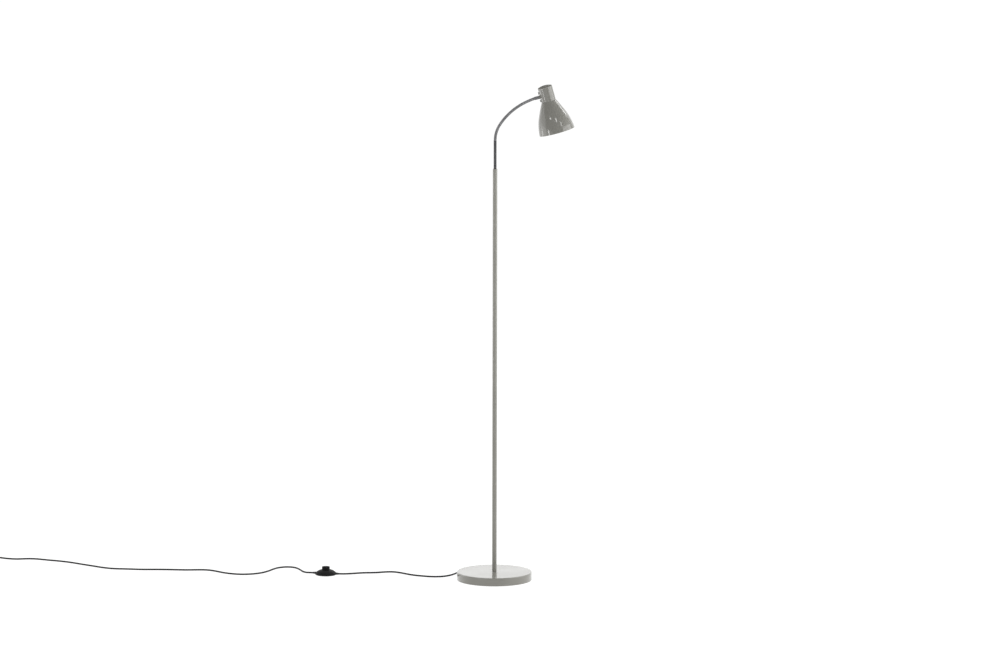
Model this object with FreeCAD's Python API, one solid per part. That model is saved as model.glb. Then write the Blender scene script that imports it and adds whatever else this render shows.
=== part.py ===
import FreeCAD, Part
import math
import os

# Gooseneck reading floor lamp: a weighted disc base, a thin pole, a flexible metal neck and a
# bell-shaped shade on a closed cap, with a foot switch on its mains cord.
# Millimetres, +Z up. The origin is the centre of the base's underside. The neck leans towards +X.

V = FreeCAD.Vector
ORIGIN = V(0, 0, 0)
UP = V(0, 0, 1)
FORWARD = V(1, 0, 0)
SIDEWAYS = V(0, 1, 0)

# Fits
SEAT = 0.05                # between parts that are pressed, screwed or glued together
RUNNING = 0.3              # between curved faces that move past each other

# Base
BASE_DIAMETER = 210.0
BASE_HEIGHT = 23.0
BASE_EDGE_RADIUS = 2.5
COVER_SHEET = 1.2
COVER_LIFT = 1.5           # the cover's edge stays this far above the floor
PAD_THICKNESS = 3.0
PAD_MARGIN = 0.8           # between the pad or the weight and the cover's wall
NUT_RECESS_RADIUS = 17.0
WEIGHT_WEB = 4.3           # cement left between the nut recess and the cover

# Threaded nipple, washer and nut that clamp the base to the pole
NIPPLE_RADIUS = 4.0
NIPPLE_BORE_RADIUS = 3.0
NIPPLE_ENGAGEMENT = 15.0   # in the pole's foot
WASHER_RADIUS = 9.0
WASHER_THICKNESS = 1.2
NUT_FLATS = 13.0
NUT_THICKNESS = 3.0

# Mains cord and the cores inside it
CORD_DIAMETER = 4.8
CORES_RADIUS = 1.2
CORES_BEND = 4.0
EXIT_AZIMUTH = 100.0       # the cord leaves the base at this angle from +X
EXIT_HEIGHT = 8.5
BUSH_FLANGE_RADIUS = 5.2
BUSH_NECK_RADIUS = 4.0
BUSH_FLANGE_THICKNESS = 2.0
BUSH_TAPER_LENGTH = 18.0
BUSH_TIP_WALL = 0.8
ANCHOR_WIDTH = 24.0
ANCHOR_DEPTH = 9.0
ANCHOR_THICKNESS = 2.4
ANCHOR_DISTANCE = 80.0     # from the lamp's axis
ANCHOR_SCREW_SPACING = 16.0
ANCHOR_SCREW_RADIUS = 1.5
ANCHOR_SCREW_LENGTH = 9.0
CORD_TAIL_INNER = 68.0     # where the sheath ends, from the lamp's axis

# Pole
POLE_DIAMETER = 12.0
POLE_WALL = 1.0
POLE_LENGTH = 1158.0
POLE_SECTIONS = 3
FOOT_INSERT_LENGTH = 20.0
COUPLER_LENGTH = 40.0
COUPLER_BORE_RADIUS = 3.2
TOP_BUSH_DEPTH = 24.0
TOP_BUSH_SHOULDER = 1.5

# Rigid root of the neck
ROOT_SLEEVE_DIAMETER = 7.6
ROOT_SLEEVE_WALL = 1.3
ROOT_SLEEVE_LENGTH = 82.0  # above the pole
ROOT_SLEEVE_INSERTION = 20.0
ROOT_SLEEVE_CAP = 4.0      # solid end below the first ball

# Flexible neck: tangent arcs, each a radius and a turn in degrees, from the root up
NECK_ARCS = ((82.0, 33.0), (180.0, 28.5), (220.0, 13.0))
NECK_LINKS = 11
LINK_RIBS = 5
CREST_RADIUS = 4.0
VALLEY_RADIUS = 3.6
BALL_RADIUS = 2.8
LINK_BORE_RADIUS = 1.5
LINK_GAP = 1.45            # between the ribs of two links, so that they can tilt
END_SLEEVE_RADIUS = 4.4
END_SLEEVE_LENGTH = 13.5

# Head: cap, neck fitting and screws
CAP_DIAMETER = 40.2
CAP_LENGTH = 41.0
CAP_SHEET = 1.2
CAP_EDGE_RADIUS = 3.0
NECK_ENTRY_HEIGHT = 16.5   # above the joint of cap and shade
STUD_RADIUS = 3.6
COLLAR_RADIUS = 5.2
COLLAR_LENGTH = 3.4
BRACKET_THICKNESS = 1.5
BRACKET_WIDTH = 15.0
BRACKET_HEIGHT = 32.0
BRACKET_BOSS_RADIUS = 7.0
NECK_NUT_FLATS = 11.0
NECK_NUT_THICKNESS = 2.5
SCREW_SPACING = 22.4
SCREW_RADIUS = 1.95
SCREW_HEAD_RADIUS = 3.7
SCREW_HEAD_HEIGHT = 2.9
SCREW_SLOT_WIDTH = 0.9
SCREW_SLOT_DEPTH = 0.9

# Shade: the radius at each share of its length, as a share of the flare from cap to mouth
SHADE_LENGTH = 90.0
SHADE_MOUTH_DIAMETER = 100.2
SHADE_SHEET = 1.0
SHADE_FLARE = ((0.0, 0.0), (0.245, 0.36), (0.5, 0.69), (0.75, 0.9), (1.0, 1.0))

# Lampholder for a small screw bulb, its ring and the bulb
HOLDER_SKIRT_RADIUS = 14.0
HOLDER_SKIRT_LENGTH = 16.0
HOLDER_FLANGE_RADIUS = 16.5
HOLDER_FLANGE_THICKNESS = 3.0
HOLDER_WAIST_RADIUS = 9.2
HOLDER_HEIGHT = 34.0
HOLDER_ENTRY_HEIGHT = 30.0
SOCKET_RADIUS = 7.6
SOCKET_DEPTH = 6.5         # above the joint of cap and shade
SHELL_THICKNESS = 0.4
CONTACT_RADIUS = 3.0
CONTACT_THICKNESS = 1.2
RING_RADIUS = 18.0
RING_HEIGHT = 6.0
BULB_BASE_RADIUS = 6.9
BULB_BASE_LENGTH = 25.0
BULB_TIP_RADIUS = 2.5
BULB_TIP_LENGTH = 3.0
BULB_LENGTH = 79.0
BULB_DIAMETER = 45.0
BULB_GLASS_THICKNESS = 1.0

# Foot switch
SWITCH_AT = V(-483.5, 70.0, 0.0)
SWITCH_TURN = -12.0
SWITCH_DIAMETER = 62.8
SWITCH_DOME_HEIGHT = 15.0
SWITCH_RIM_HEIGHT = 3.4
SWITCH_SHELL = 1.8
SWITCH_FLOOR = 2.0
SWITCH_FOOT_INSET = 3.0
BUTTON_DIAMETER = 22.4
BUTTON_TOP = 23.7
BUTTON_WALL = 2.0
BUTTON_FLANGE_WIDTH = 1.6
BUTTON_FLANGE_TOP = 10.6
BUTTON_FLANGE_THICKNESS = 1.5
BUTTON_EDGE_RADIUS = 1.2
BUTTON_TRAVEL = 2.5
SWITCH_BLOCK_RADIUS = 6.5
SWITCH_BLOCK_HEIGHT = 3.6
SPRING_RADIUS = 5.2
SPRING_WIRE = 0.9
SPRING_COILS = 6
SWITCH_CORD_HEIGHT = 4.2
SWITCH_RELIEF_LENGTH = 20.0
SWITCH_RELIEF_OUTSIDE = 8.0
SWITCH_RELIEF_RADIUS = 3.5
SWITCH_RELIEF_TIP_WALL = 0.5
SWITCH_SCREWS = 3
SWITCH_SCREW_CIRCLE = 22.0
SWITCH_SCREW_RADIUS = 1.2
SWITCH_SCREW_HEAD_RADIUS = 2.2
SWITCH_SCREW_HEAD_HEIGHT = 1.2
SWITCH_SCREW_LENGTH = 6.5
SWITCH_BOSS_RADIUS = 2.6

# Cord routes: the points between the fittings, chosen along the cord on the floor
ROUTE_LAMP_TO_SWITCH = (
    (-26, 148, 6.2), (-42, 165, 3.4), (-66, 167, 2.4), (-86, 154, 2.4), (-97, 131, 2.4),
    (-102, 107, 2.4), (-111, 82, 2.4), (-125, 58, 2.4), (-146, 40, 2.4), (-175, 33, 2.4),
    (-211, 41, 2.4), (-241, 59, 2.4), (-265, 85, 2.4), (-289, 104, 2.4), (-315, 101, 2.4),
    (-341, 89, 2.4), (-375, 84, 2.4), (-402, 70, 2.6), (-421, 60.5, 3.4),
)
ROUTE_SWITCH_TO_COIL = (
    (-543, 86, 3.2), (-555, 99, 2.5), (-564, 121, 2.4), (-575, 154, 2.4), (-589, 173, 2.4),
    (-611, 178, 2.4), (-631, 170, 2.4), (-644, 148, 2.4), (-655, 118, 2.4),
    (-671, 90, 2.4), (-693, 73, 2.4), (-721, 66, 2.4), (-750, 74, 2.4), (-778, 94, 2.4),
    (-801, 119, 2.4), (-824, 135, 2.4), (-853, 137, 2.4), (-885, 132, 2.4), (-921, 137, 2.4),
    (-966, 141, 2.4), (-1016, 139, 2.4), (-1059, 147, 2.4), (-1096, 150, 2.4), (-1127, 165, 2.4),
    (-1158, 191, 2.4), (-1192, 217, 2.4), (-1226, 246, 2.4), (-1262, 268, 2.4), (-1300, 284, 2.4),
    (-1333, 302, 2.4), (-1361, 303, 2.4), (-1390, 293, 2.5), (-1418, 298, 2.8), (-1445, 311.5, 3.2),
)
CORD_BEND_SHARE = 0.45     # of the shorter run, taken up by each bend
CORD_LEAD_IN = 8.0         # straight out of each fitting

# Put-away coil: two layers, spiralling in below and out above
COIL_START = V(-1470.0, 323.2, 3.3)
COIL_HEADING = 155.0
COIL_RADIUS = 32.4
COIL_PITCH = 5.45
COIL_TAIL = 24.0
TIE_THICKNESS = 0.8
TIE_WIDTH = 8.0

# Flat two-pin plug
PLUG_LENGTH = 38.0
PLUG_WIDTH = 35.3
PLUG_CORD_END_WIDTH = 15.0
PLUG_FACE_LENGTH = 14.0    # parallel stretch behind the pins
PLUG_THICKNESS = 13.7
PLUG_CORNER_RADIUS = 4.0
PLUG_EDGE_RADIUS = 2.5
PLUG_RELIEF_LENGTH = 22.0
PLUG_RELIEF_RADIUS = 4.6
PIN_SPACING = 18.6
PIN_RADIUS = 2.0
PIN_LENGTH = 19.0
PIN_SLEEVE_LENGTH = 10.0
PIN_SLEEVE_RADIUS = 2.0    # flush with the pin
PIN_CORE_RADIUS = 1.4
PIN_EMBEDDED = 8.0

# Sizes that follow from those above
BASE_RADIUS = BASE_DIAMETER / 2
CORD_RADIUS = CORD_DIAMETER / 2
POLE_RADIUS = POLE_DIAMETER / 2
POLE_BORE_RADIUS = POLE_RADIUS - POLE_WALL
POLE_TOP = BASE_HEIGHT + POLE_LENGTH
ROOT_SLEEVE_RADIUS = ROOT_SLEEVE_DIAMETER / 2
SOCKET_BALL_RADIUS = BALL_RADIUS + RUNNING
CAP_RADIUS = CAP_DIAMETER / 2
CAP_BORE_RADIUS = CAP_RADIUS - CAP_SHEET
BUSH_TIP = BASE_RADIUS + BUSH_FLANGE_THICKNESS + BUSH_TAPER_LENGTH
SWITCH_RADIUS = SWITCH_DIAMETER / 2
SWITCH_TIP = SWITCH_RADIUS + SWITCH_RELIEF_OUTSIDE
BUTTON_RADIUS = BUTTON_DIAMETER / 2
NECK_START = POLE_TOP + ROOT_SLEEVE_LENGTH


# ---- Shapes -------------------------------------------------------------------------------

def tube(outer, inner, low, high):
    """Upright tube on the Z axis."""
    body = Part.makeCylinder(outer, high - low, V(0, 0, low))
    return body.cut(Part.makeCylinder(inner, high - low, V(0, 0, low)))


def corner_edges(corners):
    """Straight edges round a closed outline of (radius, height) corners in the XZ plane."""
    points = [V(radius, 0, height) for radius, height in corners]
    return [Part.makeLine(points[i - 1], points[i]) for i in range(len(points))]


def turned(edges):
    """Solid of revolution about Z from the edges of a closed outline in the XZ plane."""
    outline = Part.Wire(Part.__sortEdges__(edges))
    return Part.Face(outline).revolve(ORIGIN, UP, 360)


def arc_edge(first, middle, last):
    """Arc through three (radius, height) points in the XZ plane."""
    points = [V(radius, 0, height) for radius, height in (first, middle, last)]
    return Part.Arc(*points).toShape()


def line_edge(first, last):
    """Straight edge between two (radius, height) points in the XZ plane."""
    return Part.makeLine(V(first[0], 0, first[1]), V(last[0], 0, last[1]))


def hexagon(flats, hole_radius, low, high):
    """Upright hexagon nut."""
    reach = flats / math.sqrt(3)
    corners = [V(reach * math.cos(math.radians(a)), reach * math.sin(math.radians(a)), low)
               for a in range(0, 420, 60)]
    nut = Part.Face(Part.makePolygon(corners)).extrude(V(0, 0, high - low))
    return nut.cut(Part.makeCylinder(hole_radius, high - low, V(0, 0, low)))


def block(size_x, size_y, low, high, centre_x=0.0, centre_y=0.0):
    """Box centred on a point in plan."""
    corner = V(centre_x - size_x / 2, centre_y - size_y / 2, low)
    return Part.makeBox(size_x, size_y, high - low, corner)


def lying(shape):
    """The shape with its Z axis laid along +X."""
    result = shape.copy()
    result.rotate(ORIGIN, SIDEWAYS, 90)
    return result


def placed(shape, placement):
    """A copy of the shape, moved by the placement."""
    result = shape.copy()
    result.Placement = placement.multiply(result.Placement)
    return result


def save(name, solids):
    """Write one piece, or a group of like solids, as its own file."""
    group = solids if isinstance(solids, list) else [solids]
    shape = group[0] if len(group) == 1 else Part.makeCompound(group)
    shape.exportStep("parts/%s.step" % name)


# ---- Paths --------------------------------------------------------------------------------

def bent_path(points, radius=None):
    """Straight runs joined by tangent arcs: of one radius, or as large as the runs allow."""
    edges = []
    radii = []
    last = points[0]
    for before, corner, after in zip(points, points[1:], points[2:]):
        back = (before - corner).normalize()
        ahead = (after - corner).normalize()
        half_turn = (math.pi - back.getAngle(ahead)) / 2
        shorter = min((before - corner).Length, (after - corner).Length)
        bend = radius or CORD_BEND_SHARE * shorter / math.tan(half_turn)
        setback = bend * math.tan(half_turn)
        start = corner + back * setback
        end = corner + ahead * setback
        inward = (back + ahead).normalize()
        middle = corner + inward * (bend / math.cos(half_turn) - bend)
        edges.append(Part.makeLine(last, start))
        edges.append(Part.Arc(start, middle, end).toShape())
        radii.append(bend)
        last = end
    edges.append(Part.makeLine(last, points[-1]))
    return Part.Wire(edges), radii


def swept(path, radius):
    """Round tube along a path of lines and arcs."""
    start = path.Edges[0]
    section = Part.Circle(start.valueAt(start.FirstParameter),
                          start.tangentAt(start.FirstParameter), radius)
    return path.makePipeShell([Part.Wire(section.toShape())], True, False)


def arc_from(start, heading, end):
    """Arc that leaves a point in a direction and ends at another point."""
    chord = end - start
    length = chord.Length
    along = V(chord).normalize()
    sideways = (heading - along * heading.dot(along)).normalize()
    lead_angle = heading.getAngle(along)
    middle = start + chord * 0.5 + sideways * (length / 2 * math.tan(lead_angle / 2))
    return Part.Arc(start, middle, end).toShape()


def half_turn_arcs(start, heading, end):
    """Two tangent arcs through half a turn, level at both ends."""
    reach = (end - start).Length / 2
    join = (start + end) * 0.5 + heading * reach
    first = arc_from(start, heading, join)
    join_heading = first.tangentAt(first.LastParameter)
    return [first, arc_from(join, join_heading, end)]


def report_cord(name, path, solid, radius, radii=()):
    """Print a cord's length, tightest bend and how its volume compares with its length."""
    expected = math.pi * radius ** 2 * path.Length
    tightest = min(radii) if radii else 0
    print("%s: length %.1f, tightest bend %.1f, volume/expected %.4f"
          % (name, path.Length, tightest, solid.Volume / expected))
    if radii:
        print("  bends " + " ".join("%.0f" % bend for bend in radii))


# ---- Base ---------------------------------------------------------------------------------

WEIGHT_TOP = BASE_HEIGHT - COVER_SHEET
RECESS_TOP = WEIGHT_TOP - WEIGHT_WEB
NUT_TOP = RECESS_TOP - WASHER_THICKNESS
NUT_BOTTOM = NUT_TOP - NUT_THICKNESS
NIPPLE_BOTTOM = NUT_BOTTOM - 0.5
OUTWARD = FreeCAD.Placement(ORIGIN, FreeCAD.Rotation(UP, EXIT_AZIMUTH))


def base_cover():
    """Spun cover: flat top, rounded edge, straight wall, with a hole for the cord's bush."""
    inner_radius = BASE_RADIUS - COVER_SHEET
    inner_edge = BASE_EDGE_RADIUS - COVER_SHEET
    hole = NIPPLE_RADIUS + SEAT
    diagonal = math.sqrt(0.5)
    arc_centre = (BASE_RADIUS - BASE_EDGE_RADIUS, BASE_HEIGHT - BASE_EDGE_RADIUS)

    def edge_arc(radius):
        across, height = arc_centre
        return arc_edge((across, height + radius),
                        (across + radius * diagonal, height + radius * diagonal),
                        (across + radius, height))

    cover = turned([
        line_edge((hole, BASE_HEIGHT), (arc_centre[0], BASE_HEIGHT)),
        edge_arc(BASE_EDGE_RADIUS),
        line_edge((BASE_RADIUS, arc_centre[1]), (BASE_RADIUS, COVER_LIFT)),
        line_edge((BASE_RADIUS, COVER_LIFT), (inner_radius, COVER_LIFT)),
        line_edge((inner_radius, COVER_LIFT), (inner_radius, arc_centre[1])),
        edge_arc(inner_edge),
        line_edge((arc_centre[0], WEIGHT_TOP), (hole, WEIGHT_TOP)),
        line_edge((hole, WEIGHT_TOP), (hole, BASE_HEIGHT)),
    ])
    bush_hole = Part.makeCylinder(BUSH_NECK_RADIUS + SEAT, BASE_RADIUS,
                                  V(BASE_RADIUS / 2, 0, EXIT_HEIGHT), FORWARD)
    return cover.cut(placed(bush_hole, OUTWARD))


def base_weight():
    """Cement disc with its nut recess, cord channel, anchor pocket and room for the bush."""
    radius = BASE_RADIUS - COVER_SHEET - PAD_MARGIN
    disc = Part.makeCylinder(radius, WEIGHT_TOP - PAD_THICKNESS, V(0, 0, PAD_THICKNESS))
    top_edge = [e for e in disc.Edges if abs(e.CenterOfMass.z - WEIGHT_TOP) < 0.01]
    disc = disc.makeFillet(BASE_EDGE_RADIUS, top_edge)
    disc = disc.cut(Part.makeCylinder(NUT_RECESS_RADIUS, RECESS_TOP - PAD_THICKNESS,
                                      V(0, 0, PAD_THICKNESS)))
    disc = disc.cut(Part.makeCylinder(NIPPLE_RADIUS + SEAT, BASE_HEIGHT))
    channel_top = EXIT_HEIGHT + CORD_RADIUS + SEAT
    channel = block(BASE_RADIUS, CORD_DIAMETER + 2 * RUNNING, PAD_THICKNESS, channel_top,
                    centre_x=BASE_RADIUS / 2)
    pocket = block(ANCHOR_DEPTH + 2 * RUNNING, ANCHOR_WIDTH + 2 * RUNNING, PAD_THICKNESS,
                   EXIT_HEIGHT - CORD_RADIUS, centre_x=ANCHOR_DISTANCE)
    bush_room = Part.makeCylinder(BUSH_FLANGE_RADIUS + RUNNING, BASE_RADIUS,
                                  V(BASE_RADIUS - COVER_SHEET - BUSH_FLANGE_THICKNESS - RUNNING,
                                    0, EXIT_HEIGHT), FORWARD)
    screws = [Part.makeCylinder(ANCHOR_SCREW_RADIUS + SEAT, ANCHOR_SCREW_LENGTH + PAD_THICKNESS,
                                V(ANCHOR_DISTANCE, side * ANCHOR_SCREW_SPACING / 2, PAD_THICKNESS))
              for side in (-1, 1)]
    for cutter in [channel, pocket, bush_room] + screws:
        disc = disc.cut(placed(cutter, OUTWARD))
    return disc


def base_pad():
    """Foam disc that the lamp stands on."""
    return Part.makeCylinder(BASE_RADIUS - COVER_SHEET - PAD_MARGIN, PAD_THICKNESS)


def cord_bush():
    """Rubber strain relief snapped into the cover's curved wall, tapering along the cord."""
    wall_inside = BASE_RADIUS - COVER_SHEET
    flange_inside = wall_inside - BUSH_FLANGE_THICKNESS
    flange_outside = BASE_RADIUS + BUSH_FLANGE_THICKNESS
    bore = CORD_RADIUS + SEAT
    bush = turned(corner_edges([
        (bore, flange_inside), (BUSH_FLANGE_RADIUS, flange_inside),
        (BUSH_FLANGE_RADIUS, wall_inside), (BUSH_NECK_RADIUS, wall_inside),
        (BUSH_NECK_RADIUS, BASE_RADIUS), (BUSH_FLANGE_RADIUS, BASE_RADIUS),
        (BUSH_FLANGE_RADIUS, flange_outside), (BUSH_NECK_RADIUS, flange_outside),
        (bore + BUSH_TIP_WALL, BUSH_TIP), (bore, BUSH_TIP),
    ]))
    bush = placed(lying(bush), FreeCAD.Placement(V(0, 0, EXIT_HEIGHT), FreeCAD.Rotation()))
    return placed(bush, OUTWARD).cut(base_cover())


def cord_tail():
    """Sheathed cord from its stripped end under the weight to the tip of the bush."""
    tail = Part.makeCylinder(CORD_RADIUS, BUSH_TIP - CORD_TAIL_INNER,
                             V(CORD_TAIL_INNER, 0, EXIT_HEIGHT), FORWARD)
    return placed(tail, OUTWARD)


def cord_anchor():
    """Clamp plate that presses the cord up against the weight."""
    top = EXIT_HEIGHT - CORD_RADIUS - SEAT
    plate = block(ANCHOR_DEPTH, ANCHOR_WIDTH, top - ANCHOR_THICKNESS, top,
                  centre_x=ANCHOR_DISTANCE)
    for side in (-1, 1):
        plate = plate.cut(Part.makeCylinder(ANCHOR_SCREW_RADIUS + SEAT, top, V(
            ANCHOR_DISTANCE, side * ANCHOR_SCREW_SPACING / 2, 0)))
    return placed(plate, OUTWARD)


def anchor_screws():
    """Two screws, flush with the clamp plate."""
    bottom = EXIT_HEIGHT - CORD_RADIUS - SEAT - ANCHOR_THICKNESS
    screw = Part.makeCylinder(ANCHOR_SCREW_RADIUS, ANCHOR_SCREW_LENGTH, V(0, 0, bottom))
    places = [V(ANCHOR_DISTANCE, side * ANCHOR_SCREW_SPACING / 2, 0) for side in (-1, 1)]
    upright = FreeCAD.Rotation()
    return [placed(placed(screw, FreeCAD.Placement(place, upright)), OUTWARD) for place in places]


def base_lead():
    """Cores from the stripped cord to the lamp's axis and up the pole into the first ball."""
    start = OUTWARD.multVec(V(CORD_TAIL_INNER, 0, EXIT_HEIGHT))
    corner = V(0, 0, EXIT_HEIGHT)
    top = JOINTS[0] + UP * LEAD_END
    path, _ = bent_path([start, corner, top], CORES_BEND)
    return swept(path, CORES_RADIUS)


# ---- Pole ---------------------------------------------------------------------------------

def pole_section(index):
    """One flush tube of the pole, counted from the foot."""
    length = POLE_LENGTH / POLE_SECTIONS
    low = BASE_HEIGHT + index * length
    return tube(POLE_RADIUS, POLE_BORE_RADIUS, low, low + length)


def pole_couplers():
    """Threaded sleeves inside the pole, one across each joint."""
    length = POLE_LENGTH / POLE_SECTIONS
    heights = [BASE_HEIGHT + index * length for index in range(1, POLE_SECTIONS)]
    return [tube(POLE_BORE_RADIUS - SEAT, COUPLER_BORE_RADIUS,
                 height - COUPLER_LENGTH / 2, height + COUPLER_LENGTH / 2) for height in heights]


def pole_top_bush():
    """Shouldered bush in the pole's end that holds the neck's rigid root."""
    bore = ROOT_SLEEVE_RADIUS + SEAT
    shoulder_top = POLE_TOP + TOP_BUSH_SHOULDER
    chamfer = TOP_BUSH_SHOULDER / 2
    low = POLE_TOP - TOP_BUSH_DEPTH
    seat_height = POLE_TOP - ROOT_SLEEVE_INSERTION
    return turned(corner_edges([
        (COUPLER_BORE_RADIUS, low), (POLE_BORE_RADIUS - SEAT, low),
        (POLE_BORE_RADIUS - SEAT, POLE_TOP), (POLE_RADIUS, POLE_TOP),
        (POLE_RADIUS, shoulder_top - chamfer), (POLE_RADIUS - chamfer, shoulder_top),
        (bore, shoulder_top), (bore, seat_height), (COUPLER_BORE_RADIUS, seat_height),
    ]))


# ---- Neck ---------------------------------------------------------------------------------

NECK_LENGTH = sum(radius * math.radians(turn) for radius, turn in NECK_ARCS)
JOINT_SPACING = (NECK_LENGTH - END_SLEEVE_LENGTH - LINK_GAP) / NECK_LINKS
NECK_LEAN = sum(turn for _, turn in NECK_ARCS)     # at the head, from upright
LEAD_START = SOCKET_BALL_RADIUS + 0.1              # past a socket's centre
LEAD_END = LEAD_START - 1.1                        # past the next ball's centre


def neck_station(distance):
    """Point on the neck's centre line at a distance from its root."""
    across = 0.0
    height = NECK_START
    lean = 0.0
    for radius, turn in NECK_ARCS:
        step = min(distance, radius * math.radians(turn))
        after = lean + step / radius
        across += radius * (math.cos(lean) - math.cos(after))
        height += radius * (math.sin(after) - math.sin(lean))
        lean = after
        distance -= step
    return V(across, 0, height)


JOINTS = [neck_station(LINK_GAP + index * JOINT_SPACING) for index in range(NECK_LINKS + 1)]


def socket(length):
    """Space inside a link: the ball's socket at its foot and the bore above it."""
    space = Part.makeSphere(SOCKET_BALL_RADIUS)
    return space.fuse(Part.makeCylinder(LINK_BORE_RADIUS, length))


def ball(height):
    """Ball on top of a link, before its bore is cut."""
    return Part.makeSphere(BALL_RADIUS, V(0, 0, height))


def ribs(length):
    """Ribbed outside of a link: each rib is a ruled loft through four circles."""
    pitch = length / LINK_RIBS
    stations = ((0.0, VALLEY_RADIUS), (0.25, CREST_RADIUS), (0.7, CREST_RADIUS),
                (0.95, VALLEY_RADIUS))
    circles = []
    for index in range(LINK_RIBS):
        for share, radius in stations:
            circle = Part.Circle(V(0, 0, (index + share) * pitch), UP, radius)
            circles.append(Part.Wire(circle.toShape()))
    end = Part.Circle(V(0, 0, length), UP, VALLEY_RADIUS)
    circles.append(Part.Wire(end.toShape()))
    return Part.makeLoft(circles, True, True)


def neck_root_sleeve():
    """Smooth tube from inside the pole to the first ball of the neck."""
    low = POLE_TOP - ROOT_SLEEVE_INSERTION
    shoulder = JOINTS[0].z - LINK_GAP
    sleeve = Part.makeCylinder(ROOT_SLEEVE_RADIUS, shoulder - low, V(0, 0, low))
    sleeve = sleeve.fuse(ball(JOINTS[0].z))
    inside = ROOT_SLEEVE_RADIUS - ROOT_SLEEVE_WALL
    sleeve = sleeve.cut(Part.makeCylinder(inside, shoulder - ROOT_SLEEVE_CAP - low, V(0, 0, low)))
    return sleeve.cut(Part.makeCylinder(LINK_BORE_RADIUS, 2 * BALL_RADIUS + ROOT_SLEEVE_CAP * 2,
                                        V(0, 0, shoulder - ROOT_SLEEVE_CAP)))


def neck_link(index):
    """One ribbed length of the neck with its length of lead, from one joint to the next."""
    foot = JOINTS[index]
    head = JOINTS[index + 1]
    length = (head - foot).Length
    body = ribs(length - LINK_GAP).fuse(ball(length))
    body = body.cut(socket(length + 2 * BALL_RADIUS))
    lead = Part.makeCylinder(CORES_RADIUS, length + LEAD_END - LEAD_START, V(0, 0, LEAD_START))
    lean = UP.getAngle(head - foot)
    placement = FreeCAD.Placement(foot, FreeCAD.Rotation(SIDEWAYS, math.degrees(lean)))
    return [placed(body, placement), placed(lead, placement)]


# ---- Head ---------------------------------------------------------------------------------
# The head is drawn upright: its axis is Z, the joint of cap and shade is at height 0, the shade
# hangs below it and the neck comes in from -X. HEAD then tilts it to meet the neck square.

HEAD_TILT = 90.0 - NECK_LEAN
HEAD_ROTATION = FreeCAD.Rotation(SIDEWAYS, -HEAD_TILT)
NECK_END = JOINTS[-1] + HEAD_ROTATION.multVec(FORWARD) * END_SLEEVE_LENGTH
NECK_MEETS_HEAD = V(-CAP_RADIUS - COLLAR_LENGTH, 0, NECK_ENTRY_HEIGHT)
HEAD = FreeCAD.Placement(NECK_END - HEAD_ROTATION.multVec(NECK_MEETS_HEAD), HEAD_ROTATION)

BRACKET_RADIUS = CAP_BORE_RADIUS - SEAT
BRACKET_INSIDE = BRACKET_RADIUS - BRACKET_THICKNESS
BOSS_FACE = -math.sqrt(BRACKET_INSIDE ** 2 - BRACKET_BOSS_RADIUS ** 2)
STUD_END = BOSS_FACE + NECK_NUT_THICKNESS + 0.3
SCREW_HEIGHTS = [NECK_ENTRY_HEIGHT + side * SCREW_SPACING / 2 for side in (-1, 1)]


def from_neck(radius, start_x, end_x, height):
    """Cylinder along the head's X axis."""
    return Part.makeCylinder(radius, end_x - start_x, V(start_x, 0, height), FORWARD)


def neck_end_sleeve():
    """Smooth end of the neck: socket for the last ball, sleeve and threaded stud."""
    start_x = NECK_MEETS_HEAD.x - END_SLEEVE_LENGTH
    stud = Part.makeCylinder(STUD_RADIUS, STUD_END - start_x)
    sleeve = Part.makeCylinder(END_SLEEVE_RADIUS, END_SLEEVE_LENGTH)
    fitting = lying(sleeve.fuse(stud).cut(socket(STUD_END - start_x)))
    return placed(fitting, FreeCAD.Placement(V(start_x, 0, NECK_ENTRY_HEIGHT), FreeCAD.Rotation()))


def neck_collar():
    """Painted boss between the neck's end and the cap, hollowed to sit on the cap."""
    collar = from_neck(COLLAR_RADIUS, NECK_MEETS_HEAD.x, 0, NECK_ENTRY_HEIGHT)
    collar = collar.cut(from_neck(STUD_RADIUS + SEAT, NECK_MEETS_HEAD.x, 0, NECK_ENTRY_HEIGHT))
    return collar.cut(Part.makeCylinder(CAP_RADIUS + SEAT, CAP_LENGTH))


def head_bracket():
    """Curved plate inside the cap, with a flat boss for the nut and two screw holes."""
    middle = NECK_ENTRY_HEIGHT
    low = middle - BRACKET_HEIGHT / 2
    high = middle + BRACKET_HEIGHT / 2
    band = block(CAP_DIAMETER, BRACKET_WIDTH, low, high, centre_x=-CAP_RADIUS)
    plate = tube(BRACKET_RADIUS, BRACKET_INSIDE, low, high).common(band)
    boss = from_neck(BRACKET_BOSS_RADIUS, -BRACKET_RADIUS, BOSS_FACE, middle)
    plate = plate.fuse(boss.common(Part.makeCylinder(BRACKET_RADIUS, CAP_LENGTH)))
    plate = plate.cut(from_neck(STUD_RADIUS + SEAT, -CAP_RADIUS, 0, middle))
    for height in SCREW_HEIGHTS:
        plate = plate.cut(from_neck(SCREW_RADIUS + SEAT, -CAP_RADIUS, 0, height))
    return plate.removeSplitter()


def neck_nut():
    """Thin nut on the stud, against the bracket's boss."""
    nut = lying(hexagon(NECK_NUT_FLATS, STUD_RADIUS + SEAT, 0, NECK_NUT_THICKNESS))
    return placed(nut, FreeCAD.Placement(V(BOSS_FACE, 0, NECK_ENTRY_HEIGHT), FreeCAD.Rotation()))


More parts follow.
